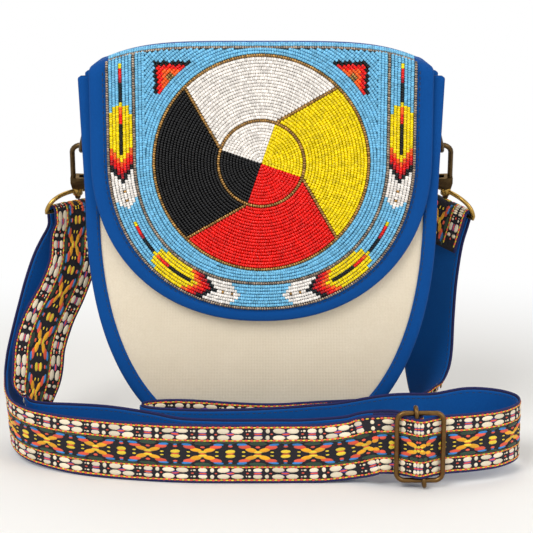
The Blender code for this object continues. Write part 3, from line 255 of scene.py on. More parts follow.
def new_piece(name, points, faces, surfaces, smooth=True):
    """Make an object at the origin from points and faces, in world metres."""
    mesh = bpy.data.meshes.new(name)
    mesh.from_pydata([tuple(point) for point in points], [], faces)
    mesh.update()
    for surface in surfaces:
        mesh.materials.append(surface)
    if smooth:
        mesh.shade_smooth()
    return placed(name, mesh)


def skin(name, rows, surface, wrap_across=False, wrap_along=False, caps=False):
    """Skin rows of equally many points with quads, closed across or along where asked."""
    count = len(rows[0])
    points = [Vector(point) + origin for row in rows for point in row]
    faces = []
    for i in range(len(rows) if wrap_along else len(rows) - 1):
        for j in range(count if wrap_across else count - 1):
            a, b = i * count + j, i * count + (j + 1) % count
            c, d = ((i + 1) % len(rows)) * count + (j + 1) % count, ((i + 1) % len(rows)) * count + j
            faces.append((a, b, c, d))
    if caps:
        faces.append(tuple(reversed(range(count))))
        faces.append(tuple((len(rows) - 1) * count + j for j in range(count)))
    made = new_piece(name, points, faces, [surface])
    if wrap_across or caps:
        face_outwards(made)
    return made


def face_outwards(piece):
    """Turn a closed piece's faces outwards."""
    shape = bmesh.new()
    shape.from_mesh(piece.data)
    bmesh.ops.recalc_face_normals(shape, faces=shape.faces)
    shape.to_mesh(piece.data)
    shape.free()


wire_sides = 16


def round_wire(name, path, radius, surface, closed=False):
    """Sweep a circle along a path, turning it as little as possible from point to point."""
    path = [Vector(point) for point in path]
    count = len(path)
    rows = []
    side = None
    for i, point in enumerate(path):
        ahead = path[(i + 1) % count] if closed else path[min(i + 1, count - 1)]
        behind = path[i - 1] if closed or i else path[0]
        along = (ahead - behind).normalized()
        if side is None:
            side = along.orthogonal().normalized()
        side = (side - along * side.dot(along)).normalized()
        other = along.cross(side)
        turns = [2 * pi * k / wire_sides for k in range(wire_sides)]
        rows.append([point + (side * cos(turn) + other * sin(turn)) * radius for turn in turns])
    if closed:
        drift = turn_between(rows[0], rows[-1], path[0], path[-1])
        for i, row in enumerate(rows):
            shift = -drift * i / count
            axis = (path[(i + 1) % count] - path[i - 1]).normalized()
            rows[i] = [path[i] + Matrix.Rotation(shift, 3, axis) @ (p - path[i]) for p in row]
    return skin(name, rows, surface, wrap_across=True, wrap_along=closed, caps=not closed)


def turn_between(first, last, first_centre, last_centre):
    """Give the angle that a closed wire's circle has turned by when it comes back to its start."""
    a, b = (first[0] - first_centre).normalized(), (last[0] - last_centre).normalized()
    other = (first[len(first) // 4] - first_centre).normalized()
    return atan2(b.dot(other), b.dot(a))


def joined(name, pieces):
    """Join pieces of one body into one."""
    bpy.ops.object.select_all(action="DESELECT")
    for piece in pieces:
        piece.select_set(True)
    bpy.context.view_layer.objects.active = pieces[0]
    bpy.ops.object.join()
    pieces[0].name = name
    pieces[0].data.name = name
    return pieces[0]


# %% [markdown]
# ## Camera
# The camera stands where the photograph was taken from: a little above the bag and straight in front,
# from about a metre.

# %% Camera
camera_data = bpy.data.cameras.new("photo_camera")
camera_data.lens = 105.5
camera_data.sensor_width = 36
camera = placed("photo_camera", camera_data)
camera.location = (0.005956, -0.97322, 0.33261)
camera.rotation_euler = (radians(78), 0, 0)
bpy.context.scene.camera = camera
print("camera at", [round(c, 2) for c in camera.location])

# %% [markdown]
# ## Floor
# The floor is a sheet of pale paper that takes the bag's shadow. From 0.24 m to 0.60 m off the bag it
# fades to plain white, but only for what is seen straight, in a reflection or through glass. The light
# that the paper throws back on the bag stays as it is.


# %% Floor
def seen_directly(tree):
    """Give 1 for rays from the camera, off a mirror or through glass, and 0 for the light of the scene."""
    rays = add_node(tree, "ShaderNodeLightPath")
    mirror = add_node(tree, "ShaderNodeMath", {
        0: rays.outputs["Is Camera Ray"], 1: rays.outputs["Is Glossy Ray"]}, operation="MAXIMUM")
    glass = add_node(tree, "ShaderNodeMath", {
        0: mirror.outputs[0], 1: rays.outputs["Is Transmission Ray"]}, operation="MAXIMUM")
    return glass.outputs[0]


floor_half = 3
floor_corners = [(x * floor_half, y * floor_half, 0) for x, y in ((-1, -1), (1, -1), (1, 1), (-1, 1))]
floor = new_piece("floor", floor_corners, [(0, 1, 2, 3)], [], smooth=False)
# Pale matte paper, so that the bag's shadow shows and light is thrown back up at the bag
floor_paint, floor_tree, floor_shader = new_surface("floor_paint", "F3F1ED", 0.95)
away = add_node(floor_tree, "ShaderNodeVectorMath", {
    0: add_node(floor_tree, "ShaderNodeTexCoord").outputs["Object"]}, operation="LENGTH")
fade = add_node(floor_tree, "ShaderNodeMapRange", {
    "Value": away.outputs["Value"], "From Min": 0.24, "From Max": 0.60}, interpolation_type="SMOOTHSTEP")
share = add_node(floor_tree, "ShaderNodeMath", {
    0: fade.outputs["Result"], 1: seen_directly(floor_tree)}, operation="MULTIPLY")
white = add_node(floor_tree, "ShaderNodeEmission", {"Color": (1, 1, 1, 1), "Strength": 1.0})
paper = add_node(floor_tree, "ShaderNodeMixShader", {
    0: share.outputs[0], 1: floor_shader.outputs[0], 2: white.outputs[0]})
floor_tree.links.new(paper.outputs[0], floor_tree.nodes["Material Output"].inputs["Surface"])
floor.data.materials.append(floor_paint)
floor.location.z = -0.0004
print("floor", 2 * floor_half, "m across")

# %% [markdown]
# ## Light
# The light is soft and plain, from above and both sides, at a level where a colour renders about as it
# is written. The world behind is white, but lights the bag at less than half of that.


# %% Lamps and world
bag_middle = Vector((0, 0, 0.13))


def soft_lamp(name, place, size, power):
    """Hang a square area lamp that points at the bag's middle."""
    data = bpy.data.lights.new(name, "AREA")
    data.size = size
    data.energy = power
    lamp = placed(name, data)
    lamp.location = place
    lamp.rotation_euler = (bag_middle - Vector(place)).to_track_quat("-Z", "Y").to_euler()


soft_lamp("key_lamp", (-0.7, -1.1, 1.3), 0.9, 18)
soft_lamp("fill_lamp", (1.1, -0.9, 0.8), 1.0, 8)
soft_lamp("top_lamp", (0.1, 0.5, 1.5), 0.9, 5)

world = bpy.data.worlds.new("plain_world")
bpy.context.scene.world = world
world.use_nodes = True
sky = world.node_tree
surroundings = sky.nodes["Background"]
surroundings.inputs["Color"].default_value = (1, 1, 1, 1)
surroundings.inputs["Strength"].default_value = 0.42
backdrop = add_node(sky, "ShaderNodeBackground", {"Color": (1, 1, 1, 1), "Strength": 1.0})
shown = add_node(sky, "ShaderNodeMixShader", {
    0: seen_directly(sky), 1: surroundings.outputs[0], 2: backdrop.outputs[0]})
sky.links.new(shown.outputs[0], sky.nodes["World Output"].inputs["Surface"])
bpy.context.scene.view_settings.view_transform = "Standard"

# %% [markdown]
# ## The flap's form
# The flap hangs down the front, then rolls over the mouth to the back seam. All that is sewn on it
# follows one mapping: x across, v up the front and on round the roll, and t out from the stiffener.

# %% Sizes of the bag, in metres
mouth_height, mouth_half_width = 0.2455, 0.115
hip_height, hip_half_width, corner_power = 0.167, 0.112, 2.4
body_depth, binding_width = 0.045, 0.009
flap_half_width, flap_power, crown_power = 0.1075, 2.2, 4.4
flap_hip_height, flap_curve_height = 0.1955, 0.1055
flap_crown_height, flap_shoulder_height = 0.2647, 0.2504
flap_front_roll, flap_back_roll, flap_bulge = 0.0067, 0.0127, 0.0030
flap_stack, face_top, flap_front = 0.0031, 0.0013, 0.0259
hinge_height, flap_back = 0.2461, 0.0215
bead_base, bead_row, bead_step = 0.0016, 0.0020, 0.0015
border_side, border_bottom, bead_top_rise = 0.0105, 0.0080, 0.0078
band_width = 0.0165
wheel_radius, hub_radius, wheel_centre = 0.0675, 0.0270, 0.1921
wheel_turn, hub_turn = radians(45), radians(71)


def body_half_width(z, inset):
    """Give the body outline's half width at a height, drawn in by the inset."""
    if z >= hip_height:
        return hip_half_width + (mouth_half_width - hip_half_width) * (
            (z - hip_height) / (mouth_height - hip_height)) - inset
    reach = min((hip_height - z) / (hip_height + 0.0015 - inset), 1)
    return (hip_half_width - inset) * (1 - reach ** corner_power) ** (1 / corner_power)


def fullness(x, z, depth):
    """Give how far a soft front stands out inside the bound edge."""
    inside = body_half_width(z, binding_width) if z > binding_width else 0
    if z >= mouth_height or abs(x) >= inside:
        return 0.0
    return depth * (1 - (x / inside) ** 2) ** 2 * sin(pi * z / mouth_height) ** 2


def crown(x):
    """Give the height of the flap's top over a place across it."""
    share = min(abs(x) / flap_half_width, 1)
    return flap_shoulder_height + (flap_crown_height - flap_shoulder_height) * (1 - share ** crown_power)


def front_top(x):
    """Give the height where the front starts to roll over."""
    return crown(x) - min(flap_front_roll, crown(x) - hinge_height)


def on_flap(x, v, t):
    """Place a point on the flap, in the bag's own coordinates."""
    start = front_top(x)
    roll = crown(x) - start
    if v <= start:
        return Vector((x, -flap_front - t - fullness(x, v, flap_bulge), v))
    angle = min((v - start) / (roll + 0.0023), pi / 2)
    return Vector((x, -flap_front + roll - (roll + t) * cos(angle), start + (roll + t) * sin(angle)))


def flap_low(x, inset):
    """Give the height of the flap's lower edge, drawn in by the inset."""
    share = min(abs(x) / (flap_half_width - inset), 1)
    return flap_hip_height - (flap_curve_height - inset) * (1 - share ** flap_power) ** (1 / flap_power)


def flap_column(x, low, t, down=40):
    """Give one column of points from the back seam over the top to the lower edge."""
    top = crown(x)
    back_roll = min(flap_back_roll, top - hinge_height)
    points = [Vector((x, flap_back + t, hinge_height))]
    for i in range(9):
        angle = i / 8 * pi / 2
        points.append(Vector((x, flap_back - back_roll + (back_roll + t) * cos(angle),
                              top - back_roll + (back_roll + t) * sin(angle))))
    start = front_top(x)
    for i in range(9):
        points.append(on_flap(x, start + (1 - i / 8) * pi / 2 * (top - start + 0.0023), t))
    for i in range(1, down + 1):
        points.append(on_flap(x, start + (low - start) * i / down, t))
    return points


print("flap from", flap_low(0, 0), "to", crown(0))

# %% [markdown]
# ## Seed beads
# Lane stitch sews size 11 beads in rows about 2 mm apart, each bead 1.5 mm long with its hole along the
# row. One barrel is made once, and a node tree sets a copy on every bead's place. Each place carries
# the row's direction, the cloth's direction, a size, a glass and a lightness.


# %% A bead, a stitch of yarn and the tree that sets them out
def barrel(name, sides, profile):
    """Turn a profile of (along, radius) shares round X into a closed unit barrel."""
    rows = [[(along, radius * cos(2 * pi * k / sides), radius * sin(2 * pi * k / sides))
             for k in range(sides)] for along, radius in profile]
    points = [point for row in rows for point in row]
    faces = [(i * sides + j, i * sides + (j + 1) % sides,
              (i + 1) * sides + (j + 1) % sides, (i + 1) * sides + j)
             for i in range(len(rows) - 1) for j in range(sides)]
    faces += [tuple(reversed(range(sides))), tuple((len(rows) - 1) * sides + j for j in range(sides))]
    made = new_piece(name, points, faces, [])
    face_outwards(made)
    return made


bead_shape = barrel("bead_shape", 8, [(-0.5, 0.32), (-0.37, 0.465), (0, 0.5), (0.37, 0.465), (0.5, 0.32)])
stitch_shape = barrel("stitch_shape", 8, [
    (-0.5, 0.1), (-0.4, 0.33), (-0.18, 0.48), (0.1, 0.5), (0.36, 0.38), (0.5, 0.1)])


def setting_tree(name, surfaces):
    """Build a tree that sets a shape on every point, turned and sized by the point's own values."""
    tree = bpy.data.node_groups.new(name, "GeometryNodeTree")
    tree.interface.new_socket("Places", in_out="INPUT", socket_type="NodeSocketGeometry")
    tree.interface.new_socket("Shape", in_out="INPUT", socket_type="NodeSocketObject")
    tree.interface.new_socket("Set", in_out="OUTPUT", socket_type="NodeSocketGeometry")
    start = add_node(tree, "NodeGroupInput")
    shape = add_node(tree, "GeometryNodeObjectInfo", {"Object": start.outputs["Shape"]})
    row = add_node(tree, "GeometryNodeInputNamedAttribute", {"Name": "row"}, data_type="FLOAT_VECTOR")
    out = add_node(tree, "GeometryNodeInputNamedAttribute", {"Name": "out"}, data_type="FLOAT_VECTOR")
    size = add_node(tree, "GeometryNodeInputNamedAttribute", {"Name": "size"}, data_type="FLOAT_VECTOR")
    kind = add_node(tree, "GeometryNodeInputNamedAttribute", {"Name": "kind"}, data_type="INT")
    turn = add_node(tree, "FunctionNodeAxesToRotation", {
        0: row.outputs["Attribute"], 1: out.outputs["Attribute"]}, primary_axis="X", secondary_axis="Z")
    copies = add_node(tree, "GeometryNodeInstanceOnPoints", {
        "Points": start.outputs["Places"], "Instance": shape.outputs["Geometry"],
        "Rotation": turn.outputs[0], "Scale": size.outputs["Attribute"]})
    last = add_node(tree, "GeometryNodeRealizeInstances", {"Geometry": copies.outputs["Instances"]})
    for number, surface in enumerate(surfaces):
        same = add_node(tree, "FunctionNodeCompare", {2: kind.outputs["Attribute"], 3: number},
                        data_type="INT", operation="EQUAL")
        last = add_node(tree, "GeometryNodeSetMaterial", {
            "Geometry": last.outputs[0], "Selection": same.outputs[0], "Material": surface})
    end = add_node(tree, "NodeGroupOutput")
    tree.links.new(last.outputs[0], end.inputs["Set"])
    return tree


def set_out(name, places, shape, surfaces):
    """Set a shape on places of (point, row, out, size, kind, shade), as one plain mesh."""
    used = sorted({place[4] for place in places})
    tree = setting_tree(name + "_tree", [surfaces[kind] for kind in used])
    mesh = bpy.data.meshes.new(name + "_places")
    mesh.from_pydata([tuple(place[0] + origin) for place in places], [], [])
    for field, column in (("row", 1), ("out", 2), ("size", 3)):
        values = mesh.attributes.new(field, "FLOAT_VECTOR", "POINT").data
        values.foreach_set("vector", [c for place in places for c in place[column]])
    mesh.attributes.new("kind", "INT", "POINT").data.foreach_set(
        "value", [used.index(place[4]) for place in places])
    mesh.attributes.new("shade", "FLOAT", "POINT").data.foreach_set("value", [place[5] for place in places])
    guide = placed(name + "_guide", mesh)
    change = guide.modifiers.new("set_out", "NODES")
    change.node_group = tree
    socket = next(item.identifier for item in tree.interface.items_tree if item.name == "Shape")
    change[socket] = shape
    bpy.context.view_layer.update()
    solid = bpy.data.meshes.new_from_object(guide.evaluated_get(bpy.context.evaluated_depsgraph_get()))
    bpy.data.objects.remove(guide, do_unlink=True)
    for field in ("row", "out", "size", "kind"):
        if field in solid.attributes:
            solid.attributes.remove(solid.attributes[field])
    solid.name = name
    return placed(name, solid)


rng = np.random.default_rng(11)


# %% [markdown]
# ## Rows of beads
# A row is a line of (x, v) places on the flap. Beads are laid along it at their own length, evenly, so
# that a row ends with a whole bead as it does in hand work.


# %% Lay beads along rows
def along_row(line, step):
    """Give evenly spaced places on a flat line, each with the row's direction there."""
    line = [np.array(point, float) for point in line]
    lengths = [np.linalg.norm(b - a) for a, b in zip(line, line[1:])]
    total = sum(lengths)
    count = max(round(total / step), 1)
    laid = []
    index, walked = 0, 0.0
    for i in range(count):
        target = (i + 0.5) * total / count
        while index < len(lengths) - 1 and walked + lengths[index] < target:
            walked += lengths[index]
            index += 1
        aim = (line[index + 1] - line[index]) / max(lengths[index], 1e-9)
        laid.append((line[index] + aim * (target - walked), aim, target / total))
    return laid


def bead_at(x, v, aim, kind, across=bead_row * 1.03, length=bead_step * 0.98):
    """Give one bead's place on the flap, with the small unevenness of hand sewing."""
    if kind in ("bronze", "pewter"):
        length *= 0.9
    x += rng.normal(0, 0.00004)
    v += rng.normal(0, 0.00004)
    height = bead_base + 0.00075
    here = on_flap(x, v, height)
    ahead = on_flap(x + aim[0] * 0.0004, v + aim[1] * 0.0004, height)
    aside = on_flap(x - aim[1] * 0.0004, v + aim[0] * 0.0004, height)
    row = (ahead - here).normalized()
    out = row.cross(aside - here).normalized()
    if out.y > 0 and out.z < 0.5:
        out = -out
    grow = 1 + rng.normal(0, 0.025)
    tilt = Vector(rng.normal(0, 0.03, 3))
    return (here, (row + tilt).normalized(), out, (length * grow, across * grow, 0.0017 * grow), kind,
            float(rng.random()))


def field_point(share, depth):
    """Give (x, v) on the bead field's U, from its top left (0) to its top right (1)."""
    half = flap_half_width - border_side - depth
    drop = flap_curve_height - border_bottom - depth
    side = -1 if share < 0.5 else 1
    along = min(share, 1 - share) * 2
    if along < 0.36:
        top = field_top(half, bead_row * 0.5)
        return side * half, top + (flap_hip_height - top) * along / 0.36
    angle = (along - 0.36) / 0.64 * pi / 2
    x = half * max(cos(angle), 0) ** (2 / flap_power)
    return side * x, flap_hip_height - drop * sin(angle) ** (2 / flap_power)


def field_top(x, depth):
    """Give v at the top edge of the bead field, drawn down by the depth."""
    return front_top(x) + bead_top_rise - depth


def in_field(x, v, depth, top_depth):
    """Say whether a place lies inside the field's U and under its top edge."""
    half = flap_half_width - border_side - depth
    drop = flap_curve_height - border_bottom - depth
    if abs(x) >= half or v > field_top(x, top_depth):
        return False
    if v >= flap_hip_height:
        return True
    return (abs(x) / half) ** flap_power + ((flap_hip_height - v) / drop) ** flap_power < 1


u_shares = [i / 240 for i in range(241)]
bead_places = {}


def put(piece, place):
    """Add a bead to the piece that it belongs to."""
    bead_places.setdefault(piece, []).append(place)


def lay_row(piece, line, kind):
    """Lay evenly spaced beads of one kind along a flat line."""
    for (x, v), aim, _ in along_row(line, bead_step):
        put(piece, bead_at(x, v, aim, kind))


# %% [markdown]
# ## The band and its feathers
# Seven rows run between two bronze rows. Each feather is one pattern worked along them: a thin stem, a
# yellow vane round a dark spine, an orange and red V, a stepped black tip and a white fluff at the end.

# %% Band, feathers and bronze rows
band_rows = 7
band_pitch = (band_width - bead_row) / band_rows
centre_line = [np.array(field_point(share, (band_width + bead_row) / 2)) for share in u_shares]
centre_walk = [0.0]
for near, far in zip(centre_line, centre_line[1:]):
    centre_walk.append(centre_walk[-1] + float(np.linalg.norm(far - near)))
feathers = (("upper", 0.0044, 0.0942), ("lower", 0.1058, 0.0866))


def feather_kind(side_row, share):
    """Give the glass at a place in a feather, by its row from the spine and its share of the length."""
    late = 0.029 * (3 - side_row)
    if share < 0.25:
        if side_row:
            return None
        ends = (("yellow", 0.03), ("red", 0.09), ("dark_red", 0.13))
        return next((kind for kind, end in ends if share < end), "black")
    if share < 0.33 and side_row > (0 if share < 0.28 else 2):
        return None
    if side_row == 0 and 0.285 < share < 0.60:
        return "orange" if share < 0.33 else "red" if share < 0.405 else "black"
    if share < 0.565 + late:
        return "yellow"
    for kind, end in (("orange", 0.605), ("red", 0.65), ("dark_red", 0.675), ("black", 0.712)):
        if share < end + late:
            return kind
    if share > 0.915 + 0.022 * (3 - side_row):
        return None
    if side_row == 0 and (0.845 < share < 0.86 or 0.905 < share < 0.92):
        return "bronze"
    return "white"


for row in range(band_rows):
    depth = bead_row + (row + 0.5) * band_pitch
    for (x, v), aim, along in along_row([field_point(share, depth) for share in u_shares], bead_step):
        side = "left" if along < 0.5 else "right"
        nearest = int(np.argmin([hypot(abs(x) + cx, v - cv) for cx, cv in centre_line[:121]]))
        ahead = centre_line[nearest + 1] - centre_line[nearest]
        off = np.array((-abs(x), v)) - centre_line[nearest]
        walk = centre_walk[nearest] + float(off @ ahead) / float(np.linalg.norm(ahead))
        owner, kind = "band_seed_beads", "sky"
        for level, start, length in feathers:
            if start <= walk <= start + length:
                found = feather_kind(abs(row - band_rows // 2), (walk - start) / length)
                if found:
                    owner, kind = f"{level}_{side}_feather_beads", found
        put(owner, bead_at(x, v, aim, kind))

for piece, depth in (("outer_bronze_beads", 0.5 * bead_row),
                     ("inner_bronze_beads", band_width + 0.5 * bead_row)):
    line = [field_point(share, depth) for share in u_shares]
    lay_row(piece, line, "pewter")
top_half = flap_half_width - border_side - bead_row
top_places = [top_half * cos(pi * i / 60) for i in range(61)]
top_line = [(x, field_top(x, bead_row / 2)) for x in top_places]
lay_row("outer_bronze_beads", top_line, "pewter")
for row in (0.5, 1.5):
    lay_row("field_seed_beads", [(x, v + (row + 0.5) * bead_row) for x, v in top_line], "sky")
print("band beads", {name: len(places) for name, places in bead_places.items()})

# %% [markdown]
# ## The wheel
# The wheel is worked in rings from the rim inwards. Straight bronze rows part its quarters, and they
# meet a hub that is turned by 26 degrees, so the hub's quarters sit a little on from the outer ones.


# %% Wheel, field and corner triangles
def edge_angle(turn_out, turn_in, radius, shift):
    """Give the angle where a straight edge, moved sideways, crosses a radius."""
    far = Vector((wheel_radius * cos(turn_out), wheel_radius * sin(turn_out)))
    near = Vector((hub_radius * cos(turn_in), hub_radius * sin(turn_in)))
    along = (near - far).normalized()
    base = far + Vector((along.y, -along.x)) * shift
    slope = base.dot(along)
    place = base + along * (-slope - sqrt(max(slope ** 2 - base.length_squared + radius ** 2, 0)))
    return atan2(place.y, place.x)


def arc_row(piece, kind, radius, first, last):
    """Lay beads along an arc of the wheel."""
    while last < first:
        last += 2 * pi
    steps = max(int((last - first) / radians(2)), 2)
    line = [(radius * cos(first + (last - first) * i / steps),
             wheel_centre + radius * sin(first + (last - first) * i / steps)) for i in range(steps + 1)]
    lay_row(piece, line, kind)


swing = hub_turn - wheel_turn
divider_half = 0.0011
rim_inside = wheel_radius - bead_row / 2
hub_outside = hub_radius + bead_row / 2
ring_rows, hub_rows = 19, 13
for i, kind in enumerate(("yellow", "white", "black", "red")):
    first = wheel_turn + (i - 1) * pi / 2
    last = first + pi / 2
    for row in range(ring_rows):
        radius = hub_outside + (row + 0.5) * (rim_inside - hub_outside) / ring_rows
        start = edge_angle(first, first + swing, radius, divider_half)
        arc_row(f"{kind}_ring_seed_beads", kind, radius, start,
                edge_angle(last, last + swing, radius, -divider_half))
    for row in range(hub_rows):
        radius = 0.0007 + (row + 0.5) * (hub_radius - bead_row / 2 - 0.0007) / hub_rows
        arc_row(f"{kind}_hub_seed_beads", kind, radius, first + swing, last + swing)
    line = []
    for radius in (rim_inside, hub_outside):
        angle = edge_angle(last, last + swing, radius, 0)
        line.append((radius * cos(angle), wheel_centre + radius * sin(angle)))
    lay_row(f"{kind}_divider_beads", line, "bronze")
arc_row("wheel_rim_beads", "bronze", wheel_radius, 0, 2 * pi)
arc_row("hub_rim_beads", "bronze", hub_radius, 0, 2 * pi)

side_rows = 3
field_start = band_width + bead_row
triangle_side, triangle_size = 0.0665, 0.0225


def field_kind(x, v):
    """Give the owner and the glass of a bead in the field, corner triangles included."""
    across = triangle_side - abs(x)
    down = field_top(triangle_side, bead_row) - 0.0064 - v
    if across < 0 or down < 0 or across + down > triangle_size:
        return "field_seed_beads", "sky"
    edge = min(across, down)
    kind = "black" if edge < 0.0021 else "red" if edge < 0.0050 else "orange"
    if hypot(across - 0.0100, down - 0.0100) < 0.0026:
        kind = "bronze"
    return ("left" if x < 0 else "right") + "_triangle_beads", kind


for row in range(side_rows):
    line = [field_point(share, field_start + (row + 0.5) * bead_row) for share in u_shares]
    for (x, v), aim, _ in along_row(line, bead_step):
        if hypot(x, v - wheel_centre) > wheel_radius + 0.95 * bead_row:
            owner, kind = field_kind(x, v)
            put(owner, bead_at(x, v, aim, kind))
for row in range(20):
    radius = wheel_radius + (row + 1) * bead_row
    count = round(2 * pi * radius / bead_step)
    for i in range(count):
        angle = 2 * pi * i / count
        x, v = radius * cos(angle), wheel_centre + radius * sin(angle)
        if in_field(x, v, field_start + (side_rows - 0.15) * bead_row, 1.05 * bead_row):
            owner, kind = field_kind(x, v)
            put(owner, bead_at(x, v, (-sin(angle), cos(angle)), kind))
print("beads in all", sum(len(places) for places in bead_places.values()))

# %% Set the beads out
bead_pieces = {name: set_out(name, places, bead_shape, bead_glasses)
               for name, places in bead_places.items()}
print({name: len(piece.data.polygons) for name, piece in bead_pieces.items()})

# %% [markdown]
# ## The flap's cloth
# The blue face is drawn over the board and turned under along the edge, so its border is a soft roll.
# It is skinned as loops that run round the edge from the underside, joined to columns under the beads.
# The backing under the beads is felt. Between the beads it is given painted light: it is painted in the colour of
# the glass over it, standing in for light that passes the glass, and a little darker as painted shade. The
# colours make a ring of quarters round the wheel's centre, turned on towards the hub as the bronze rows are,
# and light blue outside it.


# %% Painted light and shade on the ground under the beads
# Painted light colours: each glass's colour, a little darker as painted shade between the beads
painted_light_colours = {
    "sky": "5C9EBF", "black": "050506", "red": "B01510", "yellow": "DDBD05", "white": "D9D1C7"}
# Matte felt with painted light: the colour of the glass over it, a little darker as painted shade
painted_light_felt, ground_tree, ground_shader = new_surface("painted_light_felt", painted_light_colours["sky"], 0.9)
place = add_node(ground_tree, "ShaderNodeTexCoord")
centred = add_node(ground_tree, "ShaderNodeVectorMath", {
    0: place.outputs["Object"], 1: (origin.x, 0, wheel_centre)}, operation="SUBTRACT")
parts = add_node(ground_tree, "ShaderNodeSeparateXYZ", {0: centred.outputs[0]})
flat = add_node(ground_tree, "ShaderNodeCombineXYZ", {"X": parts.outputs["X"], "Y": parts.outputs["Z"]})
reach = add_node(ground_tree, "ShaderNodeVectorMath", {0: flat.outputs[0]}, operation="LENGTH")
around = add_node(ground_tree, "ShaderNodeTexGradient", {"Vector": flat.outputs[0]}, gradient_type="RADIAL")
inward = add_node(ground_tree, "ShaderNodeMapRange", {
    "Value": reach.outputs["Value"], "From Min": wheel_radius, "From Max": hub_radius})
bend = add_node(ground_tree, "ShaderNodeMath", {0: inward.outputs["Result"], 1: 2.0}, operation="POWER")
bent = add_node(ground_tree, "ShaderNodeMath", {
    0: bend.outputs[0], 1: -swing / (2 * pi), 2: around.outputs["Fac"]}, operation="MULTIPLY_ADD")
wrapped = add_node(ground_tree, "ShaderNodeMath", {0: bent.outputs[0]}, operation="FRACT")
quarters = add_node(ground_tree, "ShaderNodeValToRGB", {"Fac": wrapped.outputs[0]})
quarters.color_ramp.interpolation = "CONSTANT"
quarters.color_ramp.elements[0].color = colour(painted_light_colours["black"])
quarters.color_ramp.elements[1].position = 0.125
quarters.color_ramp.elements[1].color = colour(painted_light_colours["red"])
for position, kind in ((0.375, "yellow"), (0.625, "white"), (0.875, "black")):
    quarters.color_ramp.elements.new(position).color = colour(painted_light_colours[kind])
inside = add_node(ground_tree, "ShaderNodeMath", {0: reach.outputs["Value"], 1: wheel_radius},
                  operation="LESS_THAN")
ground_mix = add_node(ground_tree, "ShaderNodeMix", {
    "Factor": inside.outputs[0], 6: colour(painted_light_colours["sky"]), 7: quarters.outputs["Color"]},
    data_type="RGBA")
ground_tree.links.new(ground_mix.outputs[2], ground_shader.inputs["Base Color"])
ground_shader.inputs["Specular IOR Level"].default_value = 0.1
print("ground under the beads in", len(painted_light_colours), "colours")


# %% Flap face and lining
flap_steps = 96


def flap_columns(inset, t):
    """Give the flap's columns from left to right at one inset and one distance from the board."""
    half = flap_half_width - inset
    columns = []
    for i in range(flap_steps + 1):
        angle = pi * i / flap_steps
        x = -half * (1 if cos(angle) > 0 else -1) * abs(cos(angle)) ** (2 / flap_power)
        columns.append(flap_column(x, flap_low(x, inset), t))
    return columns


def flap_loop(inset, t):
    """Give the flap's free edge at one inset: down the left, along the bottom and up the right."""
    columns = flap_columns(inset, t)
    loop = list(columns[0]) + [column[-1] for column in columns[1:-1]] + list(reversed(columns[-1]))
    for i, point in enumerate(loop):
        ripple = noise.noise(Vector((i * 0.05, inset * 200, 3.1))) * 0.00018
        point.y -= ripple
    return loop


roll_inset, cover_inset = 0.0020, 0.0080
edge_middle, edge_reach = (face_top - flap_stack) / 2, (face_top + flap_stack) / 2
loops = []
for i in range(9):
    angle = pi * (1 - i / 8)
    loops.append(flap_loop(roll_inset * (1 - sin(angle)), edge_middle + edge_reach * cos(angle)))
for i in range(1, 6):
    share = i / 5
    puff = 0.0006 * sin(pi * share) * (1 - 0.4 * share)
    loops.append(flap_loop(roll_inset + (cover_inset - roll_inset) * share, face_top + puff))
border = skin("flap_border", loops, blue_twill)
under_beads = skin("flap_field", flap_columns(cover_inset, face_top), blue_twill)
under_beads.data.materials.append(painted_light_felt)
levels, over_crown = len(flap_columns(cover_inset, face_top)[0]) - 1, 12
# Faces under the bead field take the felt with painted light and shade
for number, face in enumerate(under_beads.data.polygons):
    x, z = face.center.x - origin.x, face.center.z
    if number % levels >= over_crown and in_field(x, min(z, front_top(x)), 0.0035, 0):
        face.material_index = 1
# A strip of the same cloth closes the flap's end at the back seam
end_shape = ((-flap_stack, 0), (0.0004 - flap_stack, 0.0002), (face_top - 0.0004, 0.0002), (face_top, 0))
flap_end = skin("flap_end", [[(column[0].x, flap_back + t, hinge_height - dip) for t, dip in end_shape]
                             for column in flap_columns(roll_inset, 0)], blue_twill)
flap_cloth = joined("flap_cloth", [border, under_beads, flap_end])
flap_back_cloth = skin("flap_back_cloth", flap_columns(roll_inset, -flap_stack), lining_cotton)
print("flap cloth", len(flap_cloth.data.polygons), "faces")

# %% [markdown]
# ## The canvas body
# Two canvas panels are bound to a recessed gusset with folded blue tape. The tape stands proud as a flat
# flange, which is what the bag rests on. The panels are a little full, as canvas is over a lining. At
# the mouth a tape is folded over the front edge, and a hem of the pouch's cotton covers the other three.
# They are modelled directly, as stiff canvas lies nearly flat; slow noise gives their slight waves.


# %% Panels, gusset, pouch and bindings
corner_round = 0.0028


def u_point(share, inset):
    """Give x and z on the body's outline, from one mouth corner (0) to the other (1)."""
    side = -1 if share < 0.5 else 1
    along = min(share, 1 - share) * 2
    if along < 0.32:
        round_off = max(corner_round - inset, 0)
        top = mouth_height + 0.0008 - corner_round + sqrt(corner_round ** 2 - round_off ** 2)
        z = top + (hip_height - top) * along / 0.32
        half = hip_half_width + (mouth_half_width - hip_half_width) * (
            (z - hip_height) / (mouth_height - hip_height))
        return side * (half - inset), z
    angle = (along - 0.32) / 0.68 * pi / 2
    x = (hip_half_width - inset) * max(cos(angle), 0) ** (2 / corner_power)
    z = hip_height - (hip_height + 0.0015 - inset) * sin(angle) ** (2 / corner_power)
    return side * x, max(z, inset)


panel_face, flange_inside = 0.0214, 0.0178


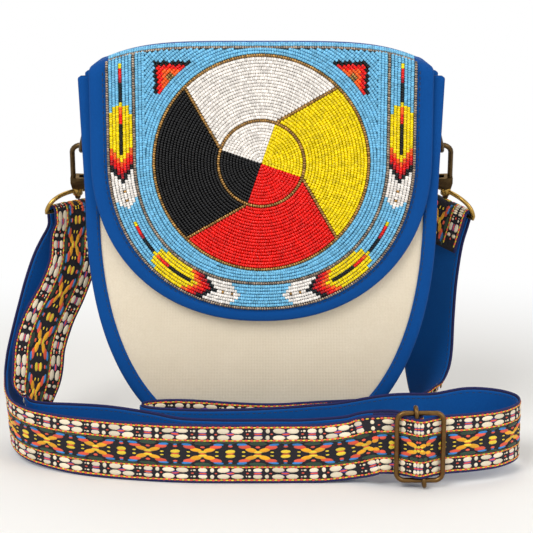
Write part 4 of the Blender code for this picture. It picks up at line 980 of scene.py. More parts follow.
def canvas_panel(name, side, depth, seed):
    """Make one canvas panel with a slight fullness and slow waves."""
    rows = []
    for i in range(91):
        x, z = u_point(i / 180, 0.0035)
        z = min(z, mouth_height)
        row = []
        for j in range(71):
            place = -x * (1 - 2 * j / 70)
            ease = max(1 - (place / max(-x, 1e-6)) ** 4, 0) * min(z / 0.03, 1)
            wave = noise.noise(Vector((place * 26, z * 19, seed))) * 0.00035
            row.append((place, side * (panel_face + fullness(place, z, depth) + wave * ease), z))
        rows.append(row)
    return skin(name, rows, natural_canvas)


u_steps = 180


def u_sweep(name, section, surface, top=None, ripple=0.0, closed=True):
    """Sweep a section of (inset, y) round the body's outline, with the small ripples of a drawn tape."""
    rows = []
    for i in range(u_steps + 1):
        row = []
        for inset, y in section:
            x, z = u_point(i / u_steps, inset)
            z = z if top is None else min(z, top)
            pull = noise.noise(Vector((x * 160, z * 160, y * 40))) * ripple
            row.append((x, y + (pull if y > 0 else -pull), z))
        rows.append(row)
    return skin(name, rows, surface, wrap_across=closed, caps=closed)


def tape_section(side):
    """Give the folded tape's rounded section, from the outside wall to the inside wall."""
    outside, inside = body_depth / 2, flange_inside
    shape = [(0.0090, outside - 0.0006), (0.0089, outside), (0.0070, outside + 0.0002),
             (0.0040, outside + 0.0003), (0.0018, outside + 0.0001), (0.0006, outside - 0.0006),
             (0.0001, outside - 0.0017), (0.0001, inside + 0.0017), (0.0006, inside + 0.0006),
             (0.0018, inside - 0.0001), (0.0060, inside - 0.0002), (0.0089, inside), (0.0090, inside + 0.0006)]
    return [(inset, side * y) for inset, y in shape]


front_canvas = canvas_panel("front_canvas", -1, 0.0010, 1.7)
back_canvas = canvas_panel("back_canvas", 1, 0.0, 6.2)
front_tape = u_sweep("front_tape", tape_section(-1), blue_twill, ripple=0.00016)
back_tape = u_sweep("back_tape", tape_section(1), blue_twill, ripple=0.00016)
web = [(0.0016, -0.0190), (0.0086, -0.0189), (0.0093, -0.0182), (0.0095, -0.0120), (0.0098, -0.0060),
       (0.0099, 0), (0.0098, 0.0060), (0.0095, 0.0120), (0.0093, 0.0182), (0.0086, 0.0189), (0.0016, 0.0190)]
gusset_canvas = u_sweep("gusset_canvas", web, natural_canvas, top=mouth_height, ripple=0.0002, closed=False)

pouch_wall = 0.0192
pouch_rows = []
for i in range(71):
    x, z = u_point(i / 140, 0.0112)
    z = min(z, mouth_height) if i else mouth_height
    half = max(-x, 0.0005)
    soft = 0.0007 * sin(pi * min(z / mouth_height, 1))
    front_wall = [(half * (j / 12 - 1), -pouch_wall + soft * (1 - (j / 12 - 1) ** 2), z)
                  for j in range(25)]
    right_wall = [(half, -pouch_wall + 2 * pouch_wall * j / 8, z) for j in range(1, 8)]
    pouch_rows.append(front_wall + right_wall + [(-a, -b, c) for a, b, c in front_wall + right_wall])
pouch_cotton = skin("pouch_cotton", pouch_rows, lining_cotton, wrap_across=True)

lip = [(-0.0222, 0.2376), (-0.0223, 0.2420), (-0.0221, 0.2455), (-0.0214, 0.2462), (-0.0196, 0.2462),
       (-0.0189, 0.2455), (-0.0188, 0.2420), (-0.0188, 0.2376)]
mouth_rows = []
mouth_tape_half = 0.1056
for i in range(61):
    x = mouth_tape_half * (i / 30 - 1)
    mouth_rows.append([(x, y + noise.noise(Vector((x * 120, z * 90, 5))) * 0.00012, z) for y, z in lip])
mouth_tape = skin("mouth_tape", mouth_rows, blue_twill, wrap_across=True, caps=True)

# The hem runs from the front along the left side, then along the back, then forward on the right side
pouch_half, hem_wall = mouth_half_width - 0.0113, 0.0188
hem = [(0, 0.2450), (0, 0.2456), (0.0005, 0.2458), (0.0023, 0.2458), (0.0028, 0.2456), (0.0028, 0.2450)]
hem_rows = []
for turn in range(3):
    for i in range(turn > 0, 21):
        share = i / 20 if turn < 2 else 1 - i / 20
        row = []
        for reach, z in hem:
            x, y = pouch_half + reach, hem_wall + reach
            if turn == 1:
                row.append((x * (2 * share - 1), y, z))
            else:
                row.append(((turn - 1) * x, -hem_wall + (y + hem_wall) * share, z))
        hem_rows.append(row)
mouth_hem = skin("mouth_hem", hem_rows, lining_cotton, wrap_across=True, caps=True)
print("body", [len(p.data.polygons) for p in (front_canvas, front_tape, gusset_canvas, pouch_cotton)])

# %% [markdown]
# ## The strap's run
# The strap is one band of 1.64 m. Its centre line is a list of places with the direction of its upper
# edge: from the end sewn round the slider's bar, left behind the front run, up and over the left eye,
# down and back to the front, through the slider, round the right loop and up to the right eye.

# %% Strap route, in millimetres from the bag's middle, with the upper edge's direction
strap_places = [
    (68.70, -81.15, 26.40, 0.000, 0.000, 1.000),
    (82.80, -81.15, 26.40, 0.000, 0.000, 1.000),
    (89.96, -85.40, 25.53, -0.122, 0.000, 0.993),
    (95.53, -89.28, 26.22, -0.122, 0.000, 0.993),
    (97.44, -89.62, 26.45, -0.122, 0.000, 0.993),
    (99.17, -88.77, 26.67, -0.122, 0.000, 0.993),
    (100.08, -87.05, 26.78, -0.122, 0.000, 0.993),
    (99.81, -85.12, 26.75, -0.122, 0.000, 0.993),
    (98.47, -83.72, 26.58, -0.122, 0.000, 0.993),
    (89.96, -79.90, 25.53, -0.122, 0.000, 0.993),
    (82.80, -76.45, 26.40, 0.000, 0.000, 1.000),
    (68.70, -76.45, 26.40, 0.000, 0.000, 1.000),
    (57.50, -73.80, 22.70, 0.000, 0.000, 1.000),
    (23.00, -70.65, 19.00, 0.000, 0.000, 1.000),
    (-28.75, -70.20, 19.00, 0.000, 0.000, 1.000),
    (-51.75, -66.60, 19.00, 0.000, 0.000, 1.000),
    (-66.70, -57.15, 19.00, 0.000, 0.000, 1.000),
    (-80.50, -49.50, 19.00, 0.000, 0.000, 1.000),
    (-98.90, -41.40, 19.00, 0.000, 0.000, 1.000),
    (-120.75, -36.90, 19.00, 0.000, 0.000, 1.000),
    (-140.30, -34.20, 19.62, 0.030, -0.080, 0.996),
    (-149.50, -27.90, 21.17, 0.020, -0.301, 0.953),
    (-152.37, -17.10, 24.60, -0.101, -0.504, 0.858),
    (-151.23, -8.10, 34.41, -0.504, -0.525, 0.686),
    (-148.58, -3.60, 49.04, -0.758, -0.499, 0.419),
    (-146.97, 0.45, 66.32, -0.818, -0.519, 0.249),
    (-141.33, 5.85, 83.44, -0.804, -0.573, 0.161),
    (-132.25, 11.25, 101.81, -0.775, -0.624, 0.101),
    (-125.70, 15.75, 120.34, -0.754, -0.654, 0.060),
    (-124.55, 18.90, 137.47, -0.741, -0.671, 0.020),
    (-122.42, 19.19, 146.97, -0.692, -0.722, -0.030),
    (-122.54, 19.07, 152.33, -0.692, -0.722, -0.030),
    (-122.61, 19.00, 155.68, -0.692, -0.722, -0.030),
    (-122.97, 19.27, 157.35, -0.692, -0.722, -0.030),
    (-123.88, 20.09, 158.58, -0.692, -0.722, -0.030),
    (-125.09, 21.24, 159.03, -0.692, -0.722, -0.030),
    (-126.29, 22.41, 158.58, -0.692, -0.722, -0.030),
    (-127.15, 23.29, 157.35, -0.692, -0.722, -0.030),
    (-127.44, 23.64, 155.68, -0.692, -0.722, -0.030),
    (-127.37, 23.71, 152.33, -0.692, -0.722, -0.030),
    (-127.26, 23.83, 146.97, -0.692, -0.722, -0.030),
    (-129.49, 25.43, 137.47, -0.760, -0.650, 0.020),
    (-136.39, 25.65, 120.34, -0.840, -0.540, 0.060),
    (-142.37, 24.75, 101.81, -0.863, -0.491, 0.120),
    (-147.54, 22.50, 83.44, -0.842, -0.491, 0.221),
    (-153.18, 18.00, 65.07, -0.742, -0.552, 0.381),
    (-158.93, 9.45, 48.57, -0.543, -0.604, 0.584),
    (-164.22, -4.95, 34.87, -0.220, -0.600, 0.769),
    (-165.02, -19.35, 28.18, -0.030, -0.502, 0.864),
    (-161.00, -34.20, 24.13, 0.080, -0.381, 0.921),
    (-150.65, -47.70, 21.64, 0.080, -0.220, 0.972),
    (-133.40, -58.05, 19.93, 0.050, -0.099, 0.994),
    (-112.70, -66.15, 19.00, 0.000, 0.000, 1.000),
    (-85.10, -74.25, 19.00, 0.000, 0.000, 1.000),
    (-48.30, -80.10, 19.00, 0.000, 0.000, 1.000),
    (-5.75, -81.00, 19.00, 0.000, 0.000, 1.000),
    (34.50, -80.55, 19.00, 0.000, 0.000, 1.000),
    (59.80, -81.90, 22.70, 0.000, 0.000, 1.000),
    (68.70, -85.85, 26.40, 0.000, 0.000, 1.000),
    (82.80, -85.85, 26.40, 0.000, 0.000, 1.000),
    (89.90, -90.10, 26.40, 0.000, 0.000, 1.000),
    (97.00, -94.35, 26.40, 0.000, 0.000, 1.000),
    (104.10, -90.10, 26.40, 0.000, 0.000, 1.000),
    (111.20, -85.85, 26.40, 0.000, 0.000, 1.000),
    (131.10, -80.55, 26.40, 0.000, 0.000, 1.000),
    (149.50, -72.00, 26.40, 0.000, 0.000, 1.000),
    (161.58, -57.15, 26.40, 0.000, 0.000, 1.000),
    (162.73, -42.75, 26.40, 0.000, 0.000, 1.000),
    (154.10, -31.05, 26.40, 0.000, 0.000, 1.000),
    (135.70, -25.65, 26.40, 0.000, 0.000, 1.000),
    (112.70, -25.65, 22.70, 0.000, 0.000, 1.000),
    (85.10, -27.90, 22.70, 0.000, 0.000, 1.000),
    (46.00, -36.00, 19.00, 0.000, 0.000, 1.000),
    (5.75, -45.90, 19.00, 0.000, 0.000, 1.000),
    (-34.50, -49.50, 19.00, 0.000, 0.000, 1.000),
    (-62.10, -46.80, 19.00, 0.000, 0.000, 1.000),
    (-74.75, -41.85, 19.00, 0.000, 0.000, 1.000),
    (-77.28, -36.00, 19.00, 0.000, 0.000, 1.000),
    (-73.03, -30.60, 19.00, 0.000, 0.000, 1.000),
    (-60.95, -27.45, 19.00, 0.000, 0.000, 1.000),
    (-43.70, -28.35, 19.00, 0.000, 0.000, 1.000),
    (-17.25, -34.20, 19.00, 0.000, 0.000, 1.000),
    (6.90, -36.90, 19.00, 0.000, 0.000, 1.000),
    (37.95, -31.05, 19.00, 0.000, 0.000, 1.000),
    (64.40, -27.00, 19.00, 0.000, 0.000, 1.000),
    (85.10, -25.20, 19.00, 0.000, 0.000, 1.000),
    (100.05, -20.25, 19.62, 0.000, -0.060, 0.998),
    (108.68, -8.10, 22.11, 0.060, -0.202, 0.978),
    (111.32, 5.40, 28.49, 0.343, -0.424, 0.838),
    (111.55, 15.30, 40.48, 0.642, -0.522, 0.562),
    (112.24, 21.60, 57.76, 0.815, -0.497, 0.298),
    (113.39, 25.88, 80.95, 0.820, -0.560, 0.120),
    (115.46, 27.90, 108.04, 0.796, -0.605, 0.000),
    (119.14, 27.90, 134.97, 0.772, -0.620, -0.142),
    (122.61, 27.92, 147.89, 0.742, -0.609, -0.280),
    (123.77, 26.97, 153.04, 0.742, -0.609, -0.280),
    (124.49, 26.37, 156.25, 0.742, -0.609, -0.280),
    (124.57, 25.73, 157.86, 0.742, -0.609, -0.280),
    (124.06, 24.56, 159.04, 0.742, -0.609, -0.280),
    (123.09, 23.19, 159.47, 0.742, -0.609, -0.280),
    (121.93, 21.98, 159.04, 0.742, -0.609, -0.280),
    (120.89, 21.25, 157.86, 0.742, -0.609, -0.280),
    (120.24, 21.20, 156.25, 0.742, -0.609, -0.280),
    (119.51, 21.79, 153.04, 0.742, -0.609, -0.280),
    (118.35, 22.74, 147.89, 0.742, -0.609, -0.280),
    (114.23, 25.35, 131.29, 0.742, -0.609, -0.280)]


def tangent(before, here, after, near, far, span):
    """Give a smooth curve's tangent at a point, from its neighbours and their knot distances."""
    return ((here - before) / near - (after - before) / (near + far) + (after - here) / far) * span


def smooth_route(route, step):
    """Give frames of centre, edge, face and direction along a smooth curve through the places."""
    route = [(2 * route[0][0] - route[1][0], route[0][1])] + route
    route.append((2 * route[-1][0] - route[-2][0], route[-1][1]))
    knots = [sqrt((route[i + 1][0] - route[i][0]).length) for i in range(len(route) - 1)]
    fine = []
    for i in range(1, len(route) - 2):
        span = knots[i]
        length = (route[i + 1][0] - route[i][0]).length
        count = max(2, round(length / step))
        for j in range(count):
            t = j / count
            weights = (2 * t ** 3 - 3 * t ** 2 + 1, t ** 3 - 2 * t ** 2 + t,
                       3 * t ** 2 - 2 * t ** 3, t ** 3 - t ** 2)
            sample = []
            for k in (0, 1):
                p0, p1, p2, p3 = (route[i + offset][k] for offset in (-1, 0, 1, 2))
                start = tangent(p0, p1, p2, knots[i - 1], span, span)
                end = tangent(p1, p2, p3, span, knots[i + 1], span)
                sample.append(p1 * weights[0] + start * weights[1] + p2 * weights[2] + end * weights[3])
            fine.append(sample)
    fine.append(list(route[-2]))
    frames = []
    for i, (centre, edge) in enumerate(fine):
        along = (fine[min(i + 1, len(fine) - 1)][0] - fine[max(i - 1, 0)][0]).normalized()
        edge = (edge - along * edge.dot(along)).normalized()
        centre = Vector((centre.x, centre.y, max(centre.z, abs(edge.z) * strap_half)))
        frames.append((centre, edge, along.cross(edge), along))
    return frames


strap_half, strap_length = 0.019, 1.638
route = [(Vector(place[:3]) / 1000, Vector(place[3:])) for place in strap_places]
strap_frames = smooth_route(route, 0.003)
strap_walk = [0.0]
for near, far in zip(strap_frames, strap_frames[1:]):
    strap_walk.append(strap_walk[-1] + (far[0] - near[0]).length)
print("strap", len(strap_frames), "frames,", round(strap_walk[-1], 3), "m")

# %% [markdown]
# ## The strap's two plies
# A jacquard band is backed with a narrower strip of blue cotton. Both follow the same frames, and each
# keeps its own length and width in its UV map, so the weave stays the right size round every bend.


# %% Strap cloth
def ribbon(name, half, low, high, surface, wave):
    """Make one ply with rounded edges, and a UV map in metres along and across."""
    across = [-1, -0.985, -0.94, -0.75, -0.5, -0.25, 0, 0.25, 0.5, 0.75, 0.94, 0.985, 1]
    middle = (low + high) / 2
    rows, places = [], []
    for walk, (centre, edge, face, _) in zip(strap_walk, strap_frames):
        row = []
        flutter = 1 + noise.noise(Vector((walk * 40, 0.5, wave))) * 0.004
        for level, order in ((high, across), (low, list(reversed(across)))):
            for share in order:
                reach = level
                if abs(share) >= 0.98:
                    reach = middle + (level - middle) * (0.75 if abs(share) < 1 else 0.2)
                row.append(centre + edge * (half * share * flutter) + face * reach)
                places.append((walk, half * share))
        rows.append(row)
    made = skin(name, rows, surface, wrap_across=True, caps=True)
    layer = made.data.uv_layers.new(name="strap_metres")
    corners = np.zeros(len(made.data.loops), int)
    made.data.loops.foreach_get("vertex_index", corners)
    layer.data.foreach_set("uv", np.array(places)[corners].ravel())
    return made


def band_ground():
    """Make the band's ground weave: black in the middle, navy at the selvedges, ribbed across."""
    made, tree, shader = new_surface("band_ground", "15131C", 0.9)
    place = add_node(tree, "ShaderNodeUVMap", uv_map="strap_metres")
    parts = add_node(tree, "ShaderNodeSeparateXYZ", {0: place.outputs["UV"]})
    aside = add_node(tree, "ShaderNodeMath", {0: parts.outputs["Y"]}, operation="ABSOLUTE")
    edge = add_node(tree, "ShaderNodeMapRange", {
        "Value": aside.outputs[0], "From Min": 0.0172, "From Max": 0.0180})
    dye = add_node(tree, "ShaderNodeMix", {
        "Factor": edge.outputs["Result"], 6: colour("17141D"), 7: colour("1D1F55")}, data_type="RGBA")
    tree.links.new(dye.outputs[2], shader.inputs["Base Color"])
    ribs = add_node(tree, "ShaderNodeTexWave", {
        "Vector": place.outputs["UV"], "Scale": wave_pitch / 0.0009, "Distortion": 0.4}, bands_direction="X")
    cords = add_node(tree, "ShaderNodeTexWave", {
        "Vector": place.outputs["UV"], "Scale": wave_pitch / 0.0011, "Distortion": 0.4}, bands_direction="Y")
    weave = add_node(tree, "ShaderNodeMath", {
        0: ribs.outputs["Fac"], 1: cords.outputs["Fac"]}, operation="ADD")
    bump = add_node(tree, "ShaderNodeBump", {
        "Height": weave.outputs[0], "Strength": 0.7, "Distance": 0.0002})
    tree.links.new(bump.outputs["Normal"], shader.inputs["Normal"])
    return made


# Bright blue cotton that backs the strap: smooth and slightly lustrous
strap_cotton = woven("strap_cotton", "0B5AA8", "074384", 0.0006, 0.00004, 0.7)
# Black jacquard ground of the band, matte and ribbed
jacquard_ground = band_ground()
strap_band = ribbon("strap_band", strap_half, -0.00005, 0.00092, jacquard_ground, 2.0)
strap_backing = ribbon("strap_backing", 0.0174, -0.00115, -0.00020, strap_cotton, 7.0)
print("strap cloth", len(strap_band.data.polygons), "faces")

# %% [markdown]
# ## The strap's pattern
# The pattern is made of threads that float over the ground: yellow bars, gold crosses with coral and
# blue tips, and two lines of cream ovals between dotted lines on each side. It repeats every 34 mm.
# Each float is one stitch set on the band, cut shorter where the band bends round a bar.


# %% Floats on the strap
def strap_at(walk, across, lift):
    """Give a place on the strap with its direction and its woven side."""
    walk = min(max(walk, 0.0), strap_walk[-1])
    i = min(max(int(np.searchsorted(strap_walk, walk)) - 1, 0), len(strap_frames) - 2)
    share = (walk - strap_walk[i]) / max(strap_walk[i + 1] - strap_walk[i], 1e-9)
    centre, edge, face, along = (a.lerp(b, share) for a, b in zip(strap_frames[i], strap_frames[i + 1]))
    return centre + edge * across + face * lift, edge.normalized(), face.normalized(), along.normalized()


def float_on(places, walk, across, length, width, slant, kind, lift=0.00092, height=0.0009):
    """Add a float of yarn, split into shorter ones where the band turns under it."""
    if walk < length / 2 or walk > strap_walk[-1] - length / 2:
        return
    ends = [strap_at(walk + length * side / 2, across, 0)[3] for side in (-1, 1)]
    pieces = max(1, ceil(ends[0].angle(ends[1]) / radians(22)))
    width *= 1 + rng.normal(0, 0.07)
    slant += rng.normal(0, 2.0)
    across += rng.normal(0, 0.00008)
    for k in range(pieces):
        shift = (k + 0.5) / pieces - 0.5
        here, edge, face, along = strap_at(
            walk + length * shift, across + sin(radians(slant)) * length * shift, lift)
        row = along * cos(radians(slant)) + edge * sin(radians(slant))
        out = face if lift > 0 else -face
        size = (length / pieces * (1.12 if pieces > 1 else 1), width, height)
        places.append((here, row, out, size, kind, float(rng.random())))


repeat = strap_length / 48
motif = [(0, 1.45, 6.0, 2.5, 0, "yellow"), (0, 0, 5.2, 0.7, 0, "coral"), (0, 4.8, 2.8, 1.3, 0, "coral"),
         (0, 5.8, 2.4, 0.9, 0, "blue"), (8.2, 1.2, 2.3, 0.9, 0, "yellow"), (25.8, 1.2, 2.3, 0.9, 0, "yellow"),
         (17, 1.2, 5.6, 1.8, 0, "yellow"), (17, 0, 4.6, 0.7, 0, "coral"), (21.2, 2.5, 7.2, 2.7, 11, "gold"),
         (12.8, 2.5, 7.2, 2.7, -11, "gold"), (25.2, 4.4, 7.6, 2.5, 5, "coral"), (8.8, 4.4, 7.6, 2.5, -5, "coral"),
         (26.8, 5.9, 6.4, 1.7, 3, "blue"), (7.2, 5.9, 6.4, 1.7, -3, "blue"), (17, 4.3, 2.8, 1.4, 0, "coral"),
         (17, 6.7, 10.5, 2.3, 0, "green"), (6.4, 7.5, 9.0, 1.3, 0, "green"), (27.6, 7.5, 9.0, 1.3, 0, "green"),
         (0, 7.2, 6.0, 1.5, 0, "green")]
ovals = [(4.3, 7.6, 3.4), (-4.3, 7.6, 3.4), (17, 5.6, 3.2), (22.8, 2.5, 2.8), (11.8, 1.8, 1.3), (9.9, 0.9, 0.8)]
ticks = [(0, 12.65, 5.0, 1.2, 0, "coral"), (0, 13.4, 4.4, 0.6, 5, "purple"), (0, 11.9, 4.4, 0.6, -5, "purple"),
         (17, 12.65, 5.0, 1.1, 0, "coral"), (17, 13.4, 5.0, 0.6, 0, "purple"), (17, 11.9, 5.0, 0.6, 0, "purple"),
         (10.6, 12.6, 1.8, 0.9, 0, "coral"), (25.2, 12.6, 1.6, 0.8, 0, "coral")]
motif_places, oval_places, edge_dot_places, inner_dot_places, hem_places = [], [], [], [], []
for number in range(-1, 49):
    base = number * repeat + 0.0035
    for side in (-1, 1):
        for walk, across, length, width, slant, kind in motif:
            if across or side > 0:
                float_on(motif_places, base + walk / 1000, side * across / 1000, length / 1000, width / 1000,
                         side * slant, kind)
        for walk, length, width in ovals:
            for across in (14.7, 10.55):
                float_on(oval_places, base + walk / 1000, side * across / 1000, length / 1000, width / 1000,
                         0, "cream")
        for walk, across, length, width, slant, kind in ticks:
            float_on(oval_places, base + walk / 1000, side * across / 1000, length / 1000, width / 1000,
                     side * slant, kind)
dot_pitch = 0.0017
for across in (-17.0, -8.55, 8.55, 17.0):
    dot_places = edge_dot_places if abs(across) > 10 else inner_dot_places
    for number in range(int(strap_length / dot_pitch)):
        kind, width = ("coral", 0.0013) if number % 2 else ("yellow", 0.0009)
        float_on(dot_places, (number + 0.5) * dot_pitch, across / 1000, 0.0021, width, 0, kind)
for across in (-15.7, 15.7):
    for number in range(int(strap_length / 0.0034)):
        float_on(hem_places, (number + 0.5) * 0.0034, across / 1000, 0.0024, 0.0005, 0, "hem",
                 lift=-0.00116, height=0.00025)
strap_threads = [set_out(name, places, stitch_shape, yarns) for name, places in (
    ("strap_motif_floats", motif_places), ("strap_oval_floats", oval_places),
    ("strap_edge_dots", edge_dot_places), ("strap_inner_dots", inner_dot_places),
    ("strap_hem_stitches", hem_places))]
print({piece.name: len(piece.data.polygons) for piece in strap_threads})

# %% [markdown]
# ## Seams on the bag
# The tapes are sewn down near their inner edge, and the flap's border is sewn just outside the beads.
# The same stitch that makes the strap's floats is set along these lines in blue thread.


# %% Seam stitches
def seam(name, line, out, body):
    """Set stitches of 2.4 mm every 3.4 mm along a line of places, and note the body that they ride on."""
    places = []
    walked, due = 0.0, 0.0017
    for near, far in zip(line, line[1:]):
        length = (far - near).length
        while due < walked + length:
            here = near.lerp(far, (due - walked) / length)
            places.append((here, (far - near).normalized(), out, (0.0024, 0.0006, 0.0004), "hem",
                           float(rng.random())))
            due += 0.0034
        walked += length
    seams[name] = (set_out(name, places, stitch_shape, yarns), body)


seams = {}
for word, side in (("front", -1), ("back", 1)):
    line = []
    for i in range(241):
        x, z = u_point(i / 240, 0.0074)
        line.append(Vector((x, side * (body_depth / 2 + 0.00018), z)))
    seam(f"{word}_tape_seam", line, Vector((0, side, 0)), "bag")
border_line = [on_flap(x, v, face_top + 0.00015) for x, v in (
    field_point(share, -0.0016) for share in u_shares[4:-4])]
seam("flap_border_seam", border_line, Vector((0, -1, 0)), "flap")
print("seams", {name: len(piece.data.polygons) for name, (piece, body) in seams.items()})

# %% [markdown]
# ## Rings, eyes and slider
# These are bent from round wire and plated. Each is swept along its own path, so the corners are the
# bends of a real wire. The hooks, gates, posts and rivets follow in a cell of their own, as copies of
# the frame's solids with their edges eased.


# %% Wire hardware
def superellipse_loop(half, drop, power, steps, tilt):
    """Give the points of an eye's flat loop, top half only, with its straight bar closing it."""
    slide = Matrix.Rotation(-tilt, 3, "Y")
    points = []
    for i in range(steps + 1):
        angle = pi * i / steps
        x = half * (1 if cos(angle) > 0 else -1) * abs(cos(angle)) ** (2 / power)
        points.append(slide @ Vector((x, 0, -drop + drop * sin(angle) ** (2 / power))))
    bar = [points[-1].lerp(points[0], i / 12) for i in range(1, 12)]
    return points + bar


def side_frame(side):
    """Give the place and turn of a side ring."""
    return Matrix.Translation((side * 0.108952, 0, 0.223)) @ Matrix.Rotation(-side * radians(15), 4, "Y")


def hook_frame(side):
    """Give the frame of a hook: its origin is the ring's lowest wire, its +X points outwards."""
    hang = side_frame(side) @ Vector((0, 0, -0.0275))
    place = Matrix.Translation(hang) @ Matrix.Scale(side, 4, Vector((1, 0, 0)))
    return place @ Matrix.Rotation(radians(31), 4, "X") @ Matrix.Rotation(-radians(3), 4, "Y")


def eye_frame(side):
    """Give the frame of a strap eye: origin on its collar, +X along the bar to the outer end."""
    hook = hook_frame(side)
    down = (hook.to_3x3() @ Vector((0, 0, -1))).normalized()
    bar = Vector((side * cos(radians(47)), -sin(radians(47)), 0))
    bar = (bar - down * bar.dot(down)).normalized()
    turn = Matrix((bar, (-down).cross(bar), -down)).transposed()
    return Matrix.Translation(hook @ Vector((0.0035, 0, -0.0337668))) @ turn.to_4x4()


def turned_collar(name, radius, half, surface):
    """Make a collar with rounded rims round Z, bored through."""
    outline = [(radius * 0.6, -half), (radius * 0.88, -half), (radius, -half * 0.82), (radius, half * 0.82),
               (radius * 0.88, half), (radius * 0.6, half)]
    rows = [[(r * cos(2 * pi * k / 32), r * sin(2 * pi * k / 32), z) for r, z in outline] for k in range(32)]
    points = [Vector(p) for row in rows for p in row]
    count = len(outline)
    faces = [(i * count + j, i * count + (j + 1) % count, ((i + 1) % 32) * count + (j + 1) % count,
              ((i + 1) % 32) * count + j) for i in range(32) for j in range(count)]
    made = new_piece(name, points, faces, [surface])
    made.data.set_sharp_from_angle(angle=radians(40))
    face_outwards(made)
    return made


def side_ring(name, side):
    """Make the D ring in its tab."""
    half, corner = 0.01175, 0.003
    shoulder = -0.0275 + half
    points = [(0, -half + corner, 0), (0, 0, 0), (0, half - corner, 0)]
    for angle in (75, 60, 45, 30, 15, 0):
        points.append((0, half - corner + corner * cos(radians(angle)),
                       -corner + corner * sin(radians(angle))))
    points += [(0, half * cos(pi * i / 28), shoulder - half * sin(pi * i / 28)) for i in range(29)]
    for angle in (0, 15, 30, 45, 60, 75):
        points.append((0, -half + corner - corner * cos(radians(angle)),
                       -corner + corner * sin(radians(angle))))
    place = side_frame(side)
    return round_wire(name, [place @ Vector(p) for p in points], 0.0015, dark_brass, closed=True)


def strap_eye(name, side, tilt):
    """Make the D loop with the collar that turns on the hook's post."""
    place = eye_frame(side)
    loop = round_wire(name, [place @ p for p in superellipse_loop(0.0225, 0.0132, 2.5, 48, tilt)], 0.0014,
                      bright_brass, closed=True)
    collar = turned_collar(name + "_collar", 0.0034, 0.0029, bright_brass)
    collar.data.transform(Matrix.Translation(origin) @ place)
    return joined(name, [loop, collar])


hardware = {}
for word, side, tilt in (("left", -1, radians(18)), ("right", 1, radians(2))):
    hardware[f"{word}_side_ring"] = side_ring(f"{word}_ring_wire", side)
    hardware[f"{word}_strap_eye"] = strap_eye(f"{word}_eye_wire", side, tilt)

slider_place = Vector((0.0970025, -0.090, 0.0264))
corners = []
for i, (side_x, side_z) in enumerate(((1, 1), (-1, 1), (-1, -1), (1, -1))):
    for k in range(9):
        angle = radians(90 * i + 90 * k / 8)
        corners.append(slider_place + Vector((side_x * 0.0092 + 0.005 * cos(angle), 0,
                                              side_z * 0.0165 + 0.005 * sin(angle))))
hardware["slider_frame"] = round_wire("slider_wire", corners, 0.00155, antique_brass, closed=True)
bend = [(0.0035 * cos(radians(a)), 0.0215 + 0.0035 * sin(radians(a))) for a in range(215, -1, -12)]
bend.append((0.0035, 0.0215))
path = [slider_place + Vector((-z * 0.12278, y, z)) for y, z in bend]
path += [slider_place + Vector((z * 0.12278, y, -z)) for y, z in reversed(bend)]
hardware["slider_bar"] = round_wire("slider_bar_wire", path, 0.0014, antique_brass)
print("hardware", sorted(hardware))

# %% [markdown]
# ## Ride, replace and declare
# Every piece rides on the body that it belongs to, and the frame's solids that it stands for are hidden.
# At the end, the area of one side of each cloth piece is worked out.


# %% Fit the pieces to the frame
def cad_look(node, surface):
    """Give a frame solid that stays in sight its material."""
    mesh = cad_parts[node].data
    mesh.materials.clear()
    mesh.materials.append(surface)


def eased_copy(node, name, surface, reach):
    """Make a copy of a solid whose sharp edges are rounded by the reach, and whose facets are smooth."""
    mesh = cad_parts[node].data.copy()
    mesh.name = name
    shape = bmesh.new()
    shape.from_mesh(mesh)
    bmesh.ops.remove_doubles(shape, verts=shape.verts, dist=0.00001)
    bmesh.ops.dissolve_limit(shape, angle_limit=radians(2), verts=shape.verts, edges=shape.edges)
    sharp = [edge for edge in shape.edges if edge.is_manifold and edge.calc_face_angle(0) > radians(50)]
    bmesh.ops.bevel(shape, geom=sharp, offset=reach, segments=3, profile=0.5, clamp_overlap=True,
                    affect="EDGES")
    shape.to_mesh(mesh)
    shape.free()
    mesh.materials.clear()
    mesh.materials.append(surface)
    mesh.shade_smooth()
    mesh.set_sharp_from_angle(angle=radians(50))
    return placed(name, mesh)


tabs, turned = {}, {}
for side in ("left", "right"):
    tabs[f"{side}_side_tab"] = eased_copy(f"{side}_side_tab", f"{side}_tab_cloth", blue_twill, 0.0006)
    for node, body, surface in ((f"{side}_hook", f"{side}_hook", dark_brass),
                                (f"{side}_swivel_post", f"{side}_hook", dark_brass),
                                (f"{side}_gate_pin", f"{side}_hook", nickel_steel),
                                (f"{side}_hook_gate", f"{side}_gate", dark_brass)):
        turned[node] = (eased_copy(node, node + "_metal", surface, 0.00025), body)

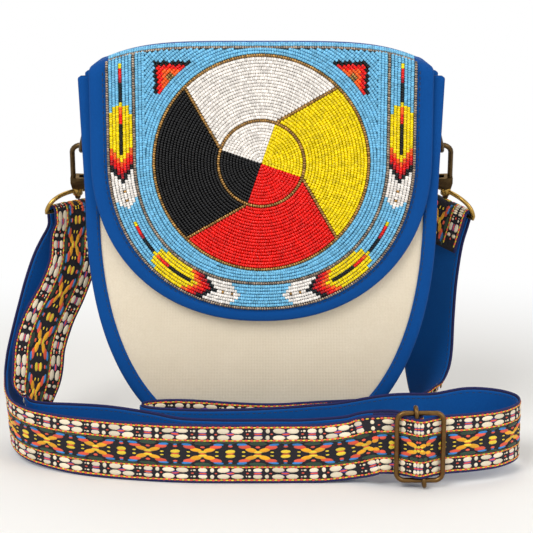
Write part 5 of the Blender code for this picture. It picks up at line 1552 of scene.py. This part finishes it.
stands_for = {
    "flap_cloth": ["flap_face"], "flap_back_cloth": ["flap_lining"], "front_canvas": ["front_panel"],
    "back_canvas": ["back_panel"], "front_tape": ["front_binding"], "back_tape": ["back_binding"],
    "gusset_canvas": ["gusset"], "pouch_cotton": ["pouch_lining"], "mouth_tape": ["mouth_binding"],
    "strap_band": ["strap_webbing"], "strap_backing": ["strap_lining"],
    "outer_bronze_beads": ["outer_bead_row"], "inner_bronze_beads": ["inner_bead_row"],
    "band_seed_beads": ["band_beads"], "field_seed_beads": ["field_beads"],
    "wheel_rim_beads": ["wheel_rim_row"], "hub_rim_beads": ["hub_rim_row"],
    "left_triangle_beads": ["left_triangle"], "right_triangle_beads": ["right_triangle"],
    "left_tab_cloth": ["left_side_tab"], "right_tab_cloth": ["right_side_tab"]}
for level in ("upper", "lower"):
    for side in ("left", "right"):
        stands_for[f"{level}_{side}_feather_beads"] = [f"{level}_{side}_feather"]
for kind in ("yellow", "white", "black", "red"):
    stands_for[f"{kind}_ring_seed_beads"] = [f"{kind}_ring_beads"]
    stands_for[f"{kind}_hub_seed_beads"] = [f"{kind}_hub_beads"]
    stands_for[f"{kind}_divider_beads"] = [f"{kind}_divider_row"]
for node, piece in hardware.items():
    stands_for[piece.name] = [node]
for node, (piece, body) in turned.items():
    stands_for[piece.name] = [node]

rides = {piece.name: "flap" for piece in bead_pieces.values()}
rides.update({"flap_cloth": "flap", "flap_back_cloth": "flap", "left_ring_wire": "left_ring",
              "right_ring_wire": "right_ring", "slider_bar_wire": "slider_bar"})
rides.update({piece.name: body for piece, body in [*turned.values(), *seams.values()]})
for helper in (bead_shape, stitch_shape):
    bpy.data.objects.remove(helper, do_unlink=True)
own = [piece for piece in bpy.context.scene.objects
       if piece.type == "MESH" and piece.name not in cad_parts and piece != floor]
for piece in own:
    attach(piece, rides.get(piece.name, "bag"))
    if piece.name in stands_for:
        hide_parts(*stands_for[piece.name])

for node in ("snap_socket", "snap_stud"):
    cad_look(node, nickel_steel)
cad_look("flap_stiffener", stiffener_board)


def one_side(piece):
    """Give the area of a piece's mesh, half of it where the mesh is closed round the cloth."""
    shape = bmesh.new()
    shape.from_mesh(piece.data)
    area = sum(face.calc_area() for face in shape.faces)
    shut = all(len(edge.link_faces) == 2 for edge in shape.edges)
    shape.free()
    return area / (2 if shut else 1)


one_side(front_canvas)
one_side(back_canvas)
one_side(gusset_canvas)
one_side(flap_cloth)
one_side(flap_back_cloth)
one_side(pouch_cotton)
